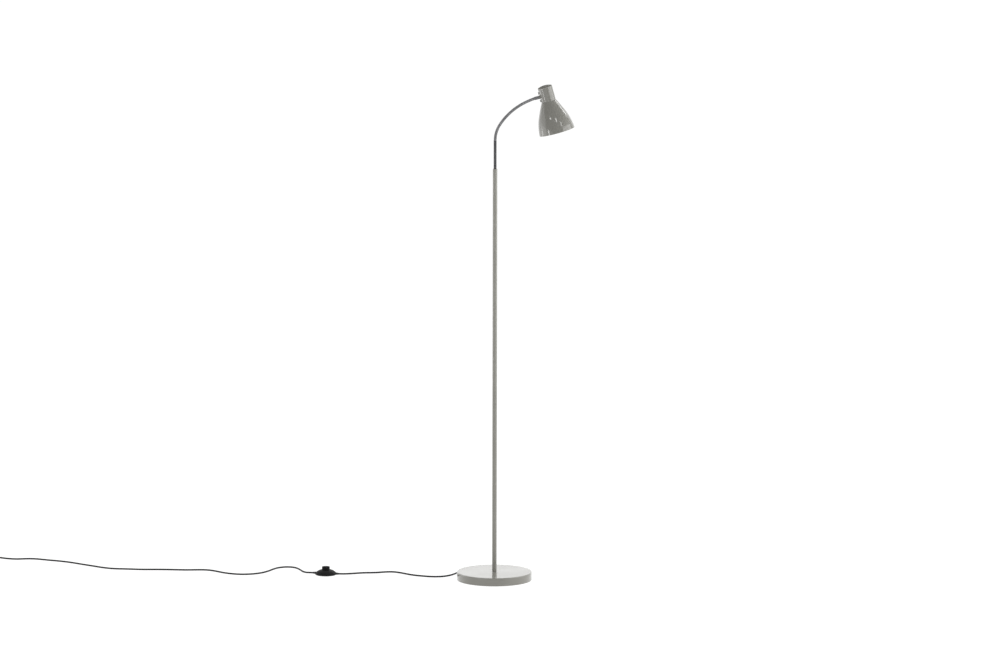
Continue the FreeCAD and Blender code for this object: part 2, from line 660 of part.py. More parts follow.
def head_screw(height):
    """Slotted round-head screw through the cap into the bracket."""
    head_tip = -CAP_RADIUS - SCREW_HEAD_HEIGHT
    dome_radius = (SCREW_HEAD_RADIUS ** 2 + SCREW_HEAD_HEIGHT ** 2) / (2 * SCREW_HEAD_HEIGHT)
    dome = Part.makeSphere(dome_radius, V(head_tip + dome_radius, 0, height))
    head = dome.common(from_neck(SCREW_HEAD_RADIUS, head_tip, -CAP_RADIUS, height))
    slot = Part.makeBox(SCREW_SLOT_DEPTH, CAP_DIAMETER, SCREW_SLOT_WIDTH,
                        V(head_tip, -CAP_RADIUS, height - SCREW_SLOT_WIDTH / 2))
    shank = from_neck(SCREW_RADIUS, -CAP_RADIUS, -BRACKET_INSIDE + 1.0, height)
    return head.cut(slot).fuse(shank)


def shade_cap():
    """Closed sleeve over the lampholder, rounded at its top edge."""
    across = CAP_RADIUS - CAP_EDGE_RADIUS
    height = CAP_LENGTH - CAP_EDGE_RADIUS
    diagonal = math.sqrt(0.5)

    def edge_arc(radius):
        return arc_edge((across, height + radius),
                        (across + radius * diagonal, height + radius * diagonal),
                        (across + radius, height))

    inside_top = CAP_LENGTH - CAP_SHEET
    cap = turned([
        line_edge((0, CAP_LENGTH), (across, CAP_LENGTH)),
        edge_arc(CAP_EDGE_RADIUS),
        line_edge((CAP_RADIUS, height), (CAP_RADIUS, 0)),
        line_edge((CAP_RADIUS, 0), (CAP_BORE_RADIUS, 0)),
        line_edge((CAP_BORE_RADIUS, 0), (CAP_BORE_RADIUS, height)),
        edge_arc(CAP_EDGE_RADIUS - CAP_SHEET),
        line_edge((across, inside_top), (0, inside_top)),
        line_edge((0, inside_top), (0, CAP_LENGTH)),
    ])
    cap = cap.cut(from_neck(STUD_RADIUS + SEAT, -2 * CAP_RADIUS, 0, NECK_ENTRY_HEIGHT))
    for height in SCREW_HEIGHTS:
        cap = cap.cut(from_neck(SCREW_RADIUS + SEAT, -2 * CAP_RADIUS, 0, height))
    return cap


def shade_outline(inset):
    """The shade's flare as (radius, height) points, moved in by a wall."""
    flare = SHADE_MOUTH_DIAMETER / 2 - CAP_RADIUS
    return [(CAP_RADIUS + share * flare - inset, -part * SHADE_LENGTH)
            for part, share in SHADE_FLARE]


def shade():
    """Bell of sheet metal with a flat top that the lampholder clamps."""
    outside = shade_outline(0)
    inside = shade_outline(SHADE_SHEET)
    hole = HOLDER_SKIRT_RADIUS + RUNNING
    slope = (outside[1][0] - outside[0][0]) / (outside[0][1] - outside[1][1])
    inside[0] = (inside[0][0] + slope * SHADE_SHEET, -SHADE_SHEET)
    return turned([
        line_edge((hole, 0), outside[0]),
        arc_edge(*outside[:3]),
        arc_edge(*outside[2:]),
        line_edge(outside[-1], inside[-1]),
        arc_edge(*inside[2:]),
        arc_edge(*inside[:3]),
        line_edge(inside[0], (hole, -SHADE_SHEET)),
        line_edge((hole, -SHADE_SHEET), (hole, 0)),
    ])


def shade_ring():
    """Ring on the lampholder's skirt that clamps the shade from below."""
    return tube(RING_RADIUS, HOLDER_SKIRT_RADIUS + SEAT, -SHADE_SHEET - RING_HEIGHT, -SHADE_SHEET)


def lampholder_body():
    """Moulded holder: skirt below the shade's top, flange on it and a slim terminal part."""
    bottom = -HOLDER_SKIRT_LENGTH
    body = turned(corner_edges([
        (SOCKET_RADIUS, bottom), (HOLDER_SKIRT_RADIUS, bottom), (HOLDER_SKIRT_RADIUS, 0),
        (HOLDER_FLANGE_RADIUS, 0), (HOLDER_FLANGE_RADIUS, HOLDER_FLANGE_THICKNESS),
        (HOLDER_WAIST_RADIUS, HOLDER_FLANGE_THICKNESS + 2), (HOLDER_WAIST_RADIUS, HOLDER_HEIGHT),
        (0, HOLDER_HEIGHT), (0, SOCKET_DEPTH), (SOCKET_RADIUS, SOCKET_DEPTH),
    ]))
    entry = from_neck(CORES_RADIUS + SEAT, -HOLDER_WAIST_RADIUS, -HOLDER_WAIST_RADIUS / 2,
                      HOLDER_ENTRY_HEIGHT)
    return body.cut(entry)


def lampholder_shell():
    """Metal shell that the bulb screws into."""
    radius = SOCKET_RADIUS - SEAT
    return tube(radius, radius - SHELL_THICKNESS, -HOLDER_SKIRT_LENGTH + 2,
                SOCKET_DEPTH - CONTACT_THICKNESS - 1)


def lampholder_contact():
    """Centre contact at the bottom of the socket."""
    return Part.makeCylinder(CONTACT_RADIUS, CONTACT_THICKNESS,
                             V(0, 0, SOCKET_DEPTH - CONTACT_THICKNESS))


def head_lead():
    """Cores from the last link through the stud and up into the side of the lampholder."""
    start_x = NECK_MEETS_HEAD.x - END_SLEEVE_LENGTH + LEAD_START
    turn_x = -(HOLDER_WAIST_RADIUS - STUD_END) / 2
    points = [V(start_x, 0, NECK_ENTRY_HEIGHT), V(turn_x, 0, NECK_ENTRY_HEIGHT),
              V(turn_x, 0, HOLDER_ENTRY_HEIGHT), V(-HOLDER_WAIST_RADIUS / 2, 0, HOLDER_ENTRY_HEIGHT)]
    path, _ = bent_path(points, CORES_RADIUS + 0.4)
    return swept(path, CORES_RADIUS)


BULB_TIP = SOCKET_DEPTH - CONTACT_THICKNESS - SEAT
BULB_SHOULDER = BULB_TIP - BULB_BASE_LENGTH


def bulb_base():
    """Screw cap of the bulb with its tapered end contact."""
    return turned(corner_edges([
        (0, BULB_SHOULDER), (BULB_BASE_RADIUS, BULB_SHOULDER),
        (BULB_BASE_RADIUS, BULB_TIP - BULB_TIP_LENGTH), (BULB_TIP_RADIUS, BULB_TIP),
        (0, BULB_TIP),
    ]))


def bulb_glass():
    """Globe with a tangent neck, hollow inside."""
    centre = BULB_TIP - BULB_LENGTH + BULB_DIAMETER / 2

    def profile(radius, neck_radius):
        """Outline of the neck's cone and the globe's arc down to the axis."""
        drop = BULB_SHOULDER - centre
        distance = math.hypot(neck_radius, drop)
        bearing = math.atan2(drop, neck_radius) - math.acos(radius / distance)
        touch = (radius * math.cos(bearing), centre + radius * math.sin(bearing))
        middle_bearing = (bearing - math.pi / 2) / 2
        middle = (radius * math.cos(middle_bearing), centre + radius * math.sin(middle_bearing))
        bottom = (0, centre - radius)
        return [line_edge((0, BULB_SHOULDER), (neck_radius, BULB_SHOULDER)),
                line_edge((neck_radius, BULB_SHOULDER), touch),
                arc_edge(touch, middle, bottom),
                line_edge(bottom, (0, BULB_SHOULDER))]

    outside = turned(profile(BULB_DIAMETER / 2, BULB_BASE_RADIUS))
    inside = turned(profile(BULB_DIAMETER / 2 - BULB_GLASS_THICKNESS,
                            BULB_BASE_RADIUS - BULB_GLASS_THICKNESS))
    return outside.cut(inside)


# ---- Foot switch --------------------------------------------------------------------------
# Drawn at the origin with its cords along X, then placed by SWITCH.

SWITCH = FreeCAD.Placement(SWITCH_AT, FreeCAD.Rotation(UP, SWITCH_TURN))
BUTTON_HOLE_RADIUS = BUTTON_RADIUS + RUNNING
DOME_LIP_RADIUS = BUTTON_HOLE_RADIUS + 0.7


def dome_solid(inset):
    """Solid inside the dome's outside face, or inside it by a wall."""
    rim = (SWITCH_RADIUS - inset, SWITCH_RIM_HEIGHT)
    top = (DOME_LIP_RADIUS, SWITCH_DOME_HEIGHT - inset)
    rise = top[1] - rim[1]
    span = rim[0] - top[0]
    shoulder = (rim[0] - 0.45 * span, rim[1] + 0.53 * rise)
    return turned([
        line_edge((0, rim[1]), rim), arc_edge(rim, shoulder, top),
        line_edge(top, (0, top[1])), line_edge((0, top[1]), (0, rim[1])),
    ])


def cord_notches(clearance):
    """Round holes for the two strain reliefs."""
    return Part.makeCylinder(SWITCH_RELIEF_RADIUS + clearance, 2 * SWITCH_TIP,
                             V(-SWITCH_TIP, 0, SWITCH_CORD_HEIGHT), FORWARD)


def switch_screw_places():
    """Where the screws stand, clear of the cords."""
    step = 2 * math.pi / SWITCH_SCREWS
    return [V(SWITCH_SCREW_CIRCLE * math.sin(step * i), SWITCH_SCREW_CIRCLE * math.cos(step * i), 0)
            for i in range(SWITCH_SCREWS)]


def switch_base():
    """Lower housing: a dish with a narrower foot."""
    foot = SWITCH_RADIUS - SWITCH_FOOT_INSET
    inside = SWITCH_RADIUS - SWITCH_SHELL
    base = turned(corner_edges([
        (0, 0), (foot, 0), (SWITCH_RADIUS, SWITCH_RIM_HEIGHT - 1), (SWITCH_RADIUS, SWITCH_RIM_HEIGHT),
        (inside, SWITCH_RIM_HEIGHT), (inside, SWITCH_FLOOR), (0, SWITCH_FLOOR),
    ]))
    base = base.cut(cord_notches(SEAT).cut(Part.makeCylinder(
        SWITCH_RADIUS - SWITCH_RELIEF_LENGTH + SWITCH_RELIEF_OUTSIDE - RUNNING, 3 * SWITCH_CORD_HEIGHT)))
    for place in switch_screw_places():
        base = base.cut(Part.makeCylinder(SWITCH_SCREW_RADIUS + SEAT, SWITCH_FLOOR, place))
        base = base.cut(Part.makeCylinder(SWITCH_SCREW_HEAD_RADIUS + SEAT, SWITCH_SCREW_HEAD_HEIGHT,
                                          place))
    return base


def switch_cover():
    """Dome with a hole for the button and a boss for each screw."""
    cover = dome_solid(0).cut(dome_solid(SWITCH_SHELL))
    floor_space = SWITCH_RADIUS - SWITCH_SHELL
    cover = cover.cut(Part.makeCylinder(floor_space, 0.6, V(0, 0, SWITCH_RIM_HEIGHT)))
    for place in switch_screw_places():
        boss = Part.makeCylinder(SWITCH_BOSS_RADIUS, SWITCH_DOME_HEIGHT, place + UP * SWITCH_FLOOR)
        roof = dome_solid(SWITCH_SHELL / 2)
        below = Part.makeCylinder(floor_space, SWITCH_RIM_HEIGHT)
        cover = cover.fuse(boss.common(roof.fuse(below)))
        cover = cover.cut(Part.makeCylinder(SWITCH_SCREW_RADIUS + SEAT, SWITCH_SCREW_LENGTH, place))
    cover = cover.cut(Part.makeCylinder(BUTTON_HOLE_RADIUS, 2 * SWITCH_DOME_HEIGHT))
    return cover.cut(cord_notches(SEAT)).removeSplitter()


def switch_button():
    """Hollow button with a flange that keeps it under the dome."""
    flange_bottom = BUTTON_FLANGE_TOP - BUTTON_FLANGE_THICKNESS
    flange_radius = BUTTON_RADIUS + BUTTON_FLANGE_WIDTH
    inside = BUTTON_RADIUS - BUTTON_WALL
    button = turned(corner_edges([
        (inside, flange_bottom), (flange_radius, flange_bottom),
        (flange_radius, BUTTON_FLANGE_TOP), (BUTTON_RADIUS, BUTTON_FLANGE_TOP),
        (BUTTON_RADIUS, BUTTON_TOP), (0, BUTTON_TOP), (0, BUTTON_TOP - BUTTON_WALL),
        (inside, BUTTON_TOP - BUTTON_WALL),
    ]))
    top_edge = [e for e in button.Edges
                if abs(e.CenterOfMass.z - BUTTON_TOP) < 0.01 and e.Length > BUTTON_DIAMETER]
    return button.makeFillet(BUTTON_EDGE_RADIUS, top_edge)


def switch_block():
    """Contact block on the floor of the housing, with a peg inside the spring."""
    top = SWITCH_FLOOR + SWITCH_BLOCK_HEIGHT
    body = Part.makeCylinder(SWITCH_BLOCK_RADIUS, SWITCH_BLOCK_HEIGHT, V(0, 0, SWITCH_FLOOR))
    peg = Part.makeCylinder(SPRING_RADIUS - SPRING_WIRE - RUNNING, SWITCH_BLOCK_HEIGHT, V(0, 0, top))
    return body.fuse(peg)


def switch_spring():
    """Open coil spring between the contact block and the button."""
    low = SWITCH_FLOOR + SWITCH_BLOCK_HEIGHT + SPRING_WIRE / 2
    high = BUTTON_TOP - BUTTON_WALL - SPRING_WIRE / 2
    radius = SPRING_RADIUS - SPRING_WIRE / 2
    rise = (high - low) / (2 * SPRING_COILS)
    edges = []
    heading = V(0, 1, 0)
    point = V(radius, 0, low)
    for half in range(2 * SPRING_COILS):
        side = -1 if half % 2 == 0 else 1
        end = V(side * radius, 0, low + (half + 1) * rise)
        edges += half_turn_arcs(point, heading, end)
        heading = heading * -1
        point = end
    return swept(Part.Wire(edges), SPRING_WIRE / 2)


def switch_screws():
    """Countersunk-height screws from below into the dome's bosses."""
    screws = []
    for place in switch_screw_places():
        head = Part.makeCylinder(SWITCH_SCREW_HEAD_RADIUS, SWITCH_SCREW_HEAD_HEIGHT - SEAT,
                                 place + UP * SEAT)
        shank = Part.makeCylinder(SWITCH_SCREW_RADIUS, SWITCH_SCREW_LENGTH - SEAT, place)
        shank = shank.cut(Part.makeCylinder(SWITCH_SCREW_HEAD_RADIUS, SEAT, place))
        screws.append(head.fuse(shank))
    return screws


def switch_relief(side):
    """Tapered strain relief, half inside the housing, on the +X or -X side."""
    inner = SWITCH_TIP - SWITCH_RELIEF_LENGTH
    relief = turned(corner_edges([
        (0, inner), (SWITCH_RELIEF_RADIUS, inner), (SWITCH_RELIEF_RADIUS, SWITCH_RADIUS),
        (CORD_RADIUS + SWITCH_RELIEF_TIP_WALL, SWITCH_TIP), (0, SWITCH_TIP),
    ]))
    relief = lying(relief)
    if side < 0:
        relief.rotate(ORIGIN, UP, 180)
    return placed(relief, FreeCAD.Placement(V(0, 0, SWITCH_CORD_HEIGHT), FreeCAD.Rotation()))


def switch_leads():
    """Cores between the strain reliefs and the contact block."""
    inner = SWITCH_TIP - SWITCH_RELIEF_LENGTH
    length = inner - SWITCH_BLOCK_RADIUS
    return [Part.makeCylinder(CORES_RADIUS, length, V(start, 0, SWITCH_CORD_HEIGHT), FORWARD)
            for start in (-inner, SWITCH_BLOCK_RADIUS)]


# ---- Cords, coil and plug -----------------------------------------------------------------

def routed(start, route, end):
    """Whole route of a cord: each end is a tip and the point straight ahead of it."""
    return list(start) + [V(*point) for point in route] + list(reversed(end))


def ahead_of(placement, x, side, z):
    """A fitting's tip on its X axis and the end of the cord's straight lead-in."""
    return (placement.multVec(V(side * x, 0, z)),
            placement.multVec(V(side * (x + CORD_LEAD_IN), 0, z)))


def cord_lamp_to_switch():
    """Free cord from the tip of the base's bush to the foot switch."""
    start = ahead_of(OUTWARD, BUSH_TIP, 1, EXIT_HEIGHT)
    end = ahead_of(SWITCH, SWITCH_TIP, 1, SWITCH_CORD_HEIGHT)
    path, radii = bent_path(routed(start, ROUTE_LAMP_TO_SWITCH, end))
    solid = swept(path, CORD_RADIUS)
    report_cord("cord_lamp_to_switch", path, solid, CORD_RADIUS, radii)
    return solid


def cord_switch_to_coil():
    """Free cord from the foot switch to the start of the coil."""
    start = ahead_of(SWITCH, SWITCH_TIP, -1, SWITCH_CORD_HEIGHT)
    end = [COIL.multVec(V(-CORD_DIAMETER, 0, 0))]
    path, radii = bent_path(routed(start, ROUTE_SWITCH_TO_COIL, end))
    solid = swept(path, CORD_RADIUS)
    report_cord("cord_switch_to_coil", path, solid, CORD_RADIUS, radii)
    return solid


# The coil is drawn from the origin towards +X, turning left, then placed by COIL.
COIL = FreeCAD.Placement(COIL_START, FreeCAD.Rotation(UP, COIL_HEADING))
COIL_HALF_TURNS = (1.0, 0.5, 0.0, -0.5, 0.0, 0.5)   # radius of each, in pitches from the inner ones
CLIMB_INDEX = 3

# The plug's end of the coil leaves level, then tips down until the plug's face rests.
PLUG_REACH = PLUG_RELIEF_LENGTH + PLUG_LENGTH
PLUG_BEND = V(COIL_TAIL / 2, COIL_PITCH, COIL_PITCH)
PLUG_DROP = COIL_START.z + COIL_PITCH - PLUG_THICKNESS / 2 - SEAT
PLUG_TIP_ANGLE = math.asin(PLUG_DROP / (PLUG_REACH + COIL_TAIL / 2))
PLUG_START = PLUG_BEND + V(math.cos(PLUG_TIP_ANGLE), 0, -math.sin(PLUG_TIP_ANGLE)) * (COIL_TAIL / 2)
PLUG = COIL.multiply(FreeCAD.Placement(PLUG_START, FreeCAD.Rotation(
    SIDEWAYS, math.degrees(PLUG_TIP_ANGLE))))


def coil_path():
    """Straight start, half turns in, a climb to the upper layer, half turns out and a tail."""
    point = ORIGIN
    edges = [Part.makeLine(V(-CORD_DIAMETER, 0, 0), point)]
    inner_radius = COIL_RADIUS - COIL_PITCH
    heading = FORWARD
    height = 0.0
    for index, step in enumerate(COIL_HALF_TURNS):
        radius = inner_radius + step * COIL_PITCH
        if index == CLIMB_INDEX:
            height = COIL_PITCH
        side = 1 if index % 2 == 0 else -1
        end = V(0, point.y + side * 2 * radius, height)
        edges += half_turn_arcs(point, heading, end)
        heading = heading * -1
        point = end
    tail, _ = bent_path([point, PLUG_BEND, PLUG_START])
    return Part.Wire(edges + tail.Edges)


def least_gap(path, diameter, samples=700):
    """Least distance between turns of a wound path, less the wire, measured on points."""
    points = path.discretize(Number=samples)
    spacing = path.Length / (samples - 1)
    skip = int(4 * diameter / spacing)
    distances = [(points[i] - points[j]).Length
                 for i in range(samples) for j in range(i + skip, samples)]
    return min(distances) - diameter


def cord_coil():
    """The put-away length of the cord, in two layers."""
    path = coil_path()
    solid = swept(path, CORD_RADIUS)
    report_cord("cord_coil", path, solid, CORD_RADIUS)
    print("  coil's least gap to itself %.2f" % least_gap(path, CORD_DIAMETER))
    return placed(solid, COIL)


def coil_tie():
    """Band round the turns, midway between the centres of the lower and the upper ones."""
    offset = (COIL_PITCH + TIE_WIDTH) / 2
    innermost = math.sqrt((COIL_RADIUS - COIL_PITCH) ** 2 - offset ** 2)
    inner = innermost - CORD_RADIUS - RUNNING
    outer = COIL_RADIUS + CORD_RADIUS + RUNNING
    low = -CORD_RADIUS - SEAT
    high = COIL_PITCH + CORD_RADIUS + RUNNING
    middle = (inner + outer) / 2
    along = COIL_RADIUS + COIL_PITCH / 2
    band = block(outer - inner + 2 * TIE_THICKNESS, TIE_WIDTH, low - TIE_THICKNESS,
                 high + TIE_THICKNESS, middle, along)
    band = band.cut(block(outer - inner, TIE_WIDTH, low, high, middle, along))
    return placed(band, COIL)


# The plug is drawn from the end of its cord towards +X.

def plug_relief():
    """Tapered strain relief between cord and plug."""
    return lying(turned(corner_edges([
        (0, 0), (CORD_RADIUS + BUSH_TIP_WALL, 0), (PLUG_RELIEF_RADIUS, PLUG_RELIEF_LENGTH),
        (0, PLUG_RELIEF_LENGTH),
    ])))


def plug_pin(side):
    """Brass pin: round tip, slimmer where its sleeve goes, and its root in the plug."""
    face = PLUG_REACH
    sleeve_end = face + PIN_SLEEVE_LENGTH
    tip = face + PIN_LENGTH
    rounding = PIN_RADIUS / 2
    pin = turned(corner_edges([
        (0, face - PIN_EMBEDDED), (PIN_CORE_RADIUS, face - PIN_EMBEDDED),
        (PIN_CORE_RADIUS, sleeve_end), (PIN_RADIUS, sleeve_end), (PIN_RADIUS, tip - rounding),
        (PIN_RADIUS - rounding, tip), (0, tip),
    ]))
    return placed(lying(pin), FreeCAD.Placement(V(0, side * PIN_SPACING / 2, 0), FreeCAD.Rotation()))


def pin_sleeve(side):
    """Plastic sleeve on the root half of a pin."""
    face = PLUG_REACH
    sleeve = tube(PIN_SLEEVE_RADIUS, PIN_CORE_RADIUS + SEAT, face, face + PIN_SLEEVE_LENGTH - SEAT)
    return placed(lying(sleeve), FreeCAD.Placement(V(0, side * PIN_SPACING / 2, 0),
                                                   FreeCAD.Rotation()))


def plug_body():
    """Flat body, narrow at the cord and wide at the pins, with rounded edges."""
    back = PLUG_RELIEF_LENGTH
    face = PLUG_REACH
    shoulder = face - PLUG_FACE_LENGTH
    half_back = PLUG_CORD_END_WIDTH / 2
    half_face = PLUG_WIDTH / 2
    bottom = -PLUG_THICKNESS / 2
    corners = [(back, -half_back), (shoulder, -half_face), (face, -half_face),
               (face, half_face), (shoulder, half_face), (back, half_back)]
    outline = [V(x, y, bottom) for x, y in corners + corners[:1]]
    body = Part.Face(Part.makePolygon(outline)).extrude(V(0, 0, PLUG_THICKNESS))
    upright = [e for e in body.Edges if e.BoundBox.ZLength > PLUG_THICKNESS / 2]
    body = body.makeFillet(PLUG_CORNER_RADIUS, upright)
    around = [e for e in body.Edges
              if e.BoundBox.ZLength < 0.01 and abs(abs(e.CenterOfMass.z) - PLUG_THICKNESS / 2) < 0.01]
    body = body.makeFillet(PLUG_EDGE_RADIUS, around)
    for side in (-1, 1):
        body = body.cut(Part.makeCylinder(PIN_CORE_RADIUS + SEAT, PIN_EMBEDDED,
                                          V(face - PIN_EMBEDDED, side * PIN_SPACING / 2, 0), FORWARD))
    return body


# ---- Build --------------------------------------------------------------------------------

def report_neck():
    """Print where the neck's joints are and how far each turns at rest."""
    leans = [0.0]
    for foot, head in zip(JOINTS, JOINTS[1:]):
        leans.append(math.degrees(UP.getAngle(head - foot)))
    leans.append(NECK_LEAN)
    for index, joint in enumerate(JOINTS):
        print("joint %02d x %.4f z %.4f lean %.4f turn %.4f"
              % (index + 1, joint.x, joint.z, leans[index], leans[index + 1] - leans[index]))


def build():
    """Write every piece of the lamp."""
    os.makedirs("parts", exist_ok=True)
    save("base_cover", base_cover())
    save("base_weight", base_weight())
    save("base_pad", base_pad())
    save("pole_nipple", tube(NIPPLE_RADIUS, NIPPLE_BORE_RADIUS, NIPPLE_BOTTOM,
                             BASE_HEIGHT + NIPPLE_ENGAGEMENT))
    save("nipple_washer", tube(WASHER_RADIUS, NIPPLE_RADIUS + SEAT, NUT_TOP, RECESS_TOP))
    save("nipple_nut", hexagon(NUT_FLATS, NIPPLE_RADIUS + SEAT, NUT_BOTTOM, NUT_TOP))
    save("cord_bush", cord_bush())
    save("cord_tail", cord_tail())
    save("cord_anchor", cord_anchor())
    save("anchor_screws", anchor_screws())
    save("base_lead", base_lead())

    save("pole_foot_insert", tube(POLE_BORE_RADIUS - SEAT, NIPPLE_RADIUS + SEAT, BASE_HEIGHT,
                                  BASE_HEIGHT + FOOT_INSERT_LENGTH))
    for index, name in enumerate(("pole_lower", "pole_middle", "pole_upper")):
        save(name, pole_section(index))
    save("pole_couplers", pole_couplers())
    save("pole_top_bush", pole_top_bush())

    save("neck_root_sleeve", neck_root_sleeve())
    for index in range(NECK_LINKS):
        save("link_%02d" % (index + 1), neck_link(index))

    head_pieces = {
        "neck_end_sleeve": neck_end_sleeve(), "neck_collar": neck_collar(),
        "head_bracket": head_bracket(), "neck_nut": neck_nut(), "shade_cap": shade_cap(),
        "shade": shade(), "shade_ring": shade_ring(), "lampholder_body": lampholder_body(),
        "lampholder_shell": lampholder_shell(), "lampholder_contact": lampholder_contact(),
        "head_lead": head_lead(), "bulb_base": bulb_base(), "bulb_glass": bulb_glass(),
    }
    for name, piece in head_pieces.items():
        save(name, placed(piece, HEAD))
    save("head_screws", [placed(head_screw(height), HEAD) for height in SCREW_HEIGHTS])

    switch_pieces = {
        "switch_base": switch_base(), "switch_cover": switch_cover(),
        "switch_button": switch_button(), "switch_block": switch_block(),
        "switch_spring": switch_spring(), "switch_relief_lamp": switch_relief(1),
        "switch_relief_plug": switch_relief(-1),
    }
    for name, piece in switch_pieces.items():
        save(name, placed(piece, SWITCH))
    save("switch_screws", [placed(screw, SWITCH) for screw in switch_screws()])
    save("switch_leads", [placed(lead, SWITCH) for lead in switch_leads()])

    save("cord_lamp_to_switch", cord_lamp_to_switch())
    save("cord_switch_to_coil", cord_switch_to_coil())
    save("cord_coil", cord_coil())
    save("coil_tie", coil_tie())
    save("plug_relief", placed(plug_relief(), PLUG))
    save("plug_body", placed(plug_body(), PLUG))
    save("plug_pins", [placed(plug_pin(side), PLUG) for side in (-1, 1)])
    save("pin_sleeves", [placed(pin_sleeve(side), PLUG) for side in (-1, 1)])
    report_neck()


build()
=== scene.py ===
import bpy
import bmesh
import math
from mathutils import Matrix, Vector


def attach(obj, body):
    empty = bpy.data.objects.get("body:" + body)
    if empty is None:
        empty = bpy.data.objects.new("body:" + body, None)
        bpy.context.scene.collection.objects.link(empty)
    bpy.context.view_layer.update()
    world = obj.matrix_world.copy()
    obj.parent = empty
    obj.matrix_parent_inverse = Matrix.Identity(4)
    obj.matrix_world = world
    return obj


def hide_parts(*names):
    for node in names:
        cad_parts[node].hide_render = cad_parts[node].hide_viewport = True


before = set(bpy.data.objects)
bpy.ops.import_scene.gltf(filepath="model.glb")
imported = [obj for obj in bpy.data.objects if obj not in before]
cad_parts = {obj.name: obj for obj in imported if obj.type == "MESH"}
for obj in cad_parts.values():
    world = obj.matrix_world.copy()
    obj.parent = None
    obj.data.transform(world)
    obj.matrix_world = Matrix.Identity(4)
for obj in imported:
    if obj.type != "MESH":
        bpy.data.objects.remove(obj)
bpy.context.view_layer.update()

# A gooseneck reading floor lamp: weighted disc base, thin lacquered pole, flexible metal neck,
# bell shade on a closed cap, and a mains cord with a foot switch and a flat plug.
# Outlines below are (radius, height) in millimetres; MM brings them to metres.

MM = 0.001

# ---- Sizes, in millimetres ----
# As in the part's source, except that the base cover, pole, root sleeve, hose, end sleeve, cap,
# shade and switch dome are up to a few millimetres fuller, after the photograph.

BASE_RADIUS = 107.0
BASE_HEIGHT = 24.0
COVER_SHEET = 1.2
COVER_HOLE = 4.05
COVER_SHOULDER = 2.5
COVER_LIFT = 0.8
COVER_MIDDLE = 12.0
EXIT_AZIMUTH = 100.0
EXIT_HEIGHT = 8.5
BUSH_TIP = 125.0
CORD_RADIUS = 2.4
CORD_CLEARANCE = 0.05
POLE_RADIUS = 6.5
POLE_BORE = 5.0
POLE_TOP = 1181.0
ROOT_BORE = 2.5
ROOT_SEAT = 3.8
ROOT_RADIUS = 4.2
ROOT_DEPTH = 20.0
NECK_START = 1263.0
NECK_ARCS = ((82.0, 33.0), (180.0, 28.5), (220.0, 13.0))
NECK_JOINTS = 12
LINK_GAP = 1.45
END_SLEEVE_LENGTH = 13.5
END_SLEEVE_RADIUS = 4.9
HOSE_PITCH = 2.3
HEAD_TILT = 15.5
NECK_ENTRY_HEIGHT = 16.5
COLLAR_LENGTH = 3.4
COLLAR_RADIUS = 5.2
HEAD_SCREW_OFFSET = 11.2
NECK_FACE = 20.1
CAP_RADIUS = 20.9
CAP_OFFSET = -0.8
CAP_CORNER = 41.0
CAP_CROWN = 4.5
CAP_EDGE_RADIUS = 2.5
CAP_SHEET = 1.2
SHADE_LENGTH = 90.8
MOUTH_RADIUS = 51.6
SHADE_HOLE = 15.1
BULB_TOP = 5.25
BULB_LENGTH = 79.0
BULB_RADIUS = 22.5
BULB_SHOULDER = -19.75
BULB_NECK = 6.9
SHADE_FLARE = ((0.0, 0.0), (0.245, 0.36), (0.5, 0.69), (0.75, 0.9), (1.0, 1.0))
SWITCH_AT = (-483.5, 70.0)
SWITCH_TURN = -12.0
SWITCH_RADIUS = 31.4
SWITCH_TIP = 39.4
SWITCH_CORD_HEIGHT = 4.2
CORD_LEAD_IN = 8.0
COIL_START = (-1470.0, 323.2, 3.3)
COIL_HEADING = 155.0
COIL_RADIUS = 32.4
COIL_PITCH = 5.45
COIL_HALF_TURNS = (1.0, 0.5, 0.0, -0.5, 0.0, 0.5)
COIL_CLIMB = 3
COIL_TAIL = 24.0
TIE_WIDTH = 8.0
TIE_SHEET = 0.8
TIE_SLACK = 0.3
FLOOR_GAP = 0.05
PLUG_LENGTH = 38.0
PLUG_RELIEF_LENGTH = 22.0
PLUG_THICKNESS = 13.7
PLUG_WIDTH = 35.3
PIN_SPACING = 18.6

ROUTE_LAMP_TO_SWITCH = (
    (-26, 148, 6.2), (-42, 165, 3.4), (-66, 167, 2.4), (-86, 154, 2.4), (-97, 131, 2.4),
    (-102, 107, 2.4), (-111, 80, 2.4), (-125, 53, 2.4), (-146, 33, 2.4), (-175, 28, 2.4),
    (-211, 41, 2.4), (-241, 59, 2.4), (-265, 85, 2.4), (-289, 104, 2.4), (-315, 101, 2.4),
    (-341, 89, 2.4), (-375, 88, 2.4), (-402, 77, 2.6), (-421, 66, 3.4),
)
ROUTE_SWITCH_TO_COIL = (
    (-541, 87, 3.2), (-550, 102, 2.5), (-557, 125, 2.4), (-568, 156, 2.4), (-583, 173, 2.4),
    (-604, 175, 2.4), (-623, 164, 2.4), (-637, 142, 2.4), (-649, 112, 2.4),
    (-667, 84, 2.4), (-691, 66, 2.4), (-721, 59, 2.4), (-751, 66, 2.4), (-780, 86, 2.4),
    (-803, 111, 2.4), (-825, 127, 2.4), (-853, 129, 2.4), (-885, 125, 2.4), (-921, 129, 2.4),
    (-966, 133, 2.4), (-1016, 131, 2.4), (-1059, 139, 2.4), (-1096, 142, 2.4), (-1127, 157, 2.4),
    (-1158, 183, 2.4), (-1192, 209, 2.4), (-1226, 238, 2.4), (-1262, 260, 2.4), (-1300, 276, 2.4),
    (-1333, 294, 2.4), (-1361, 295, 2.4), (-1390, 287, 2.5), (-1418, 295, 2.8), (-1445, 311.5, 3.2),
)

# ---- Camera ----

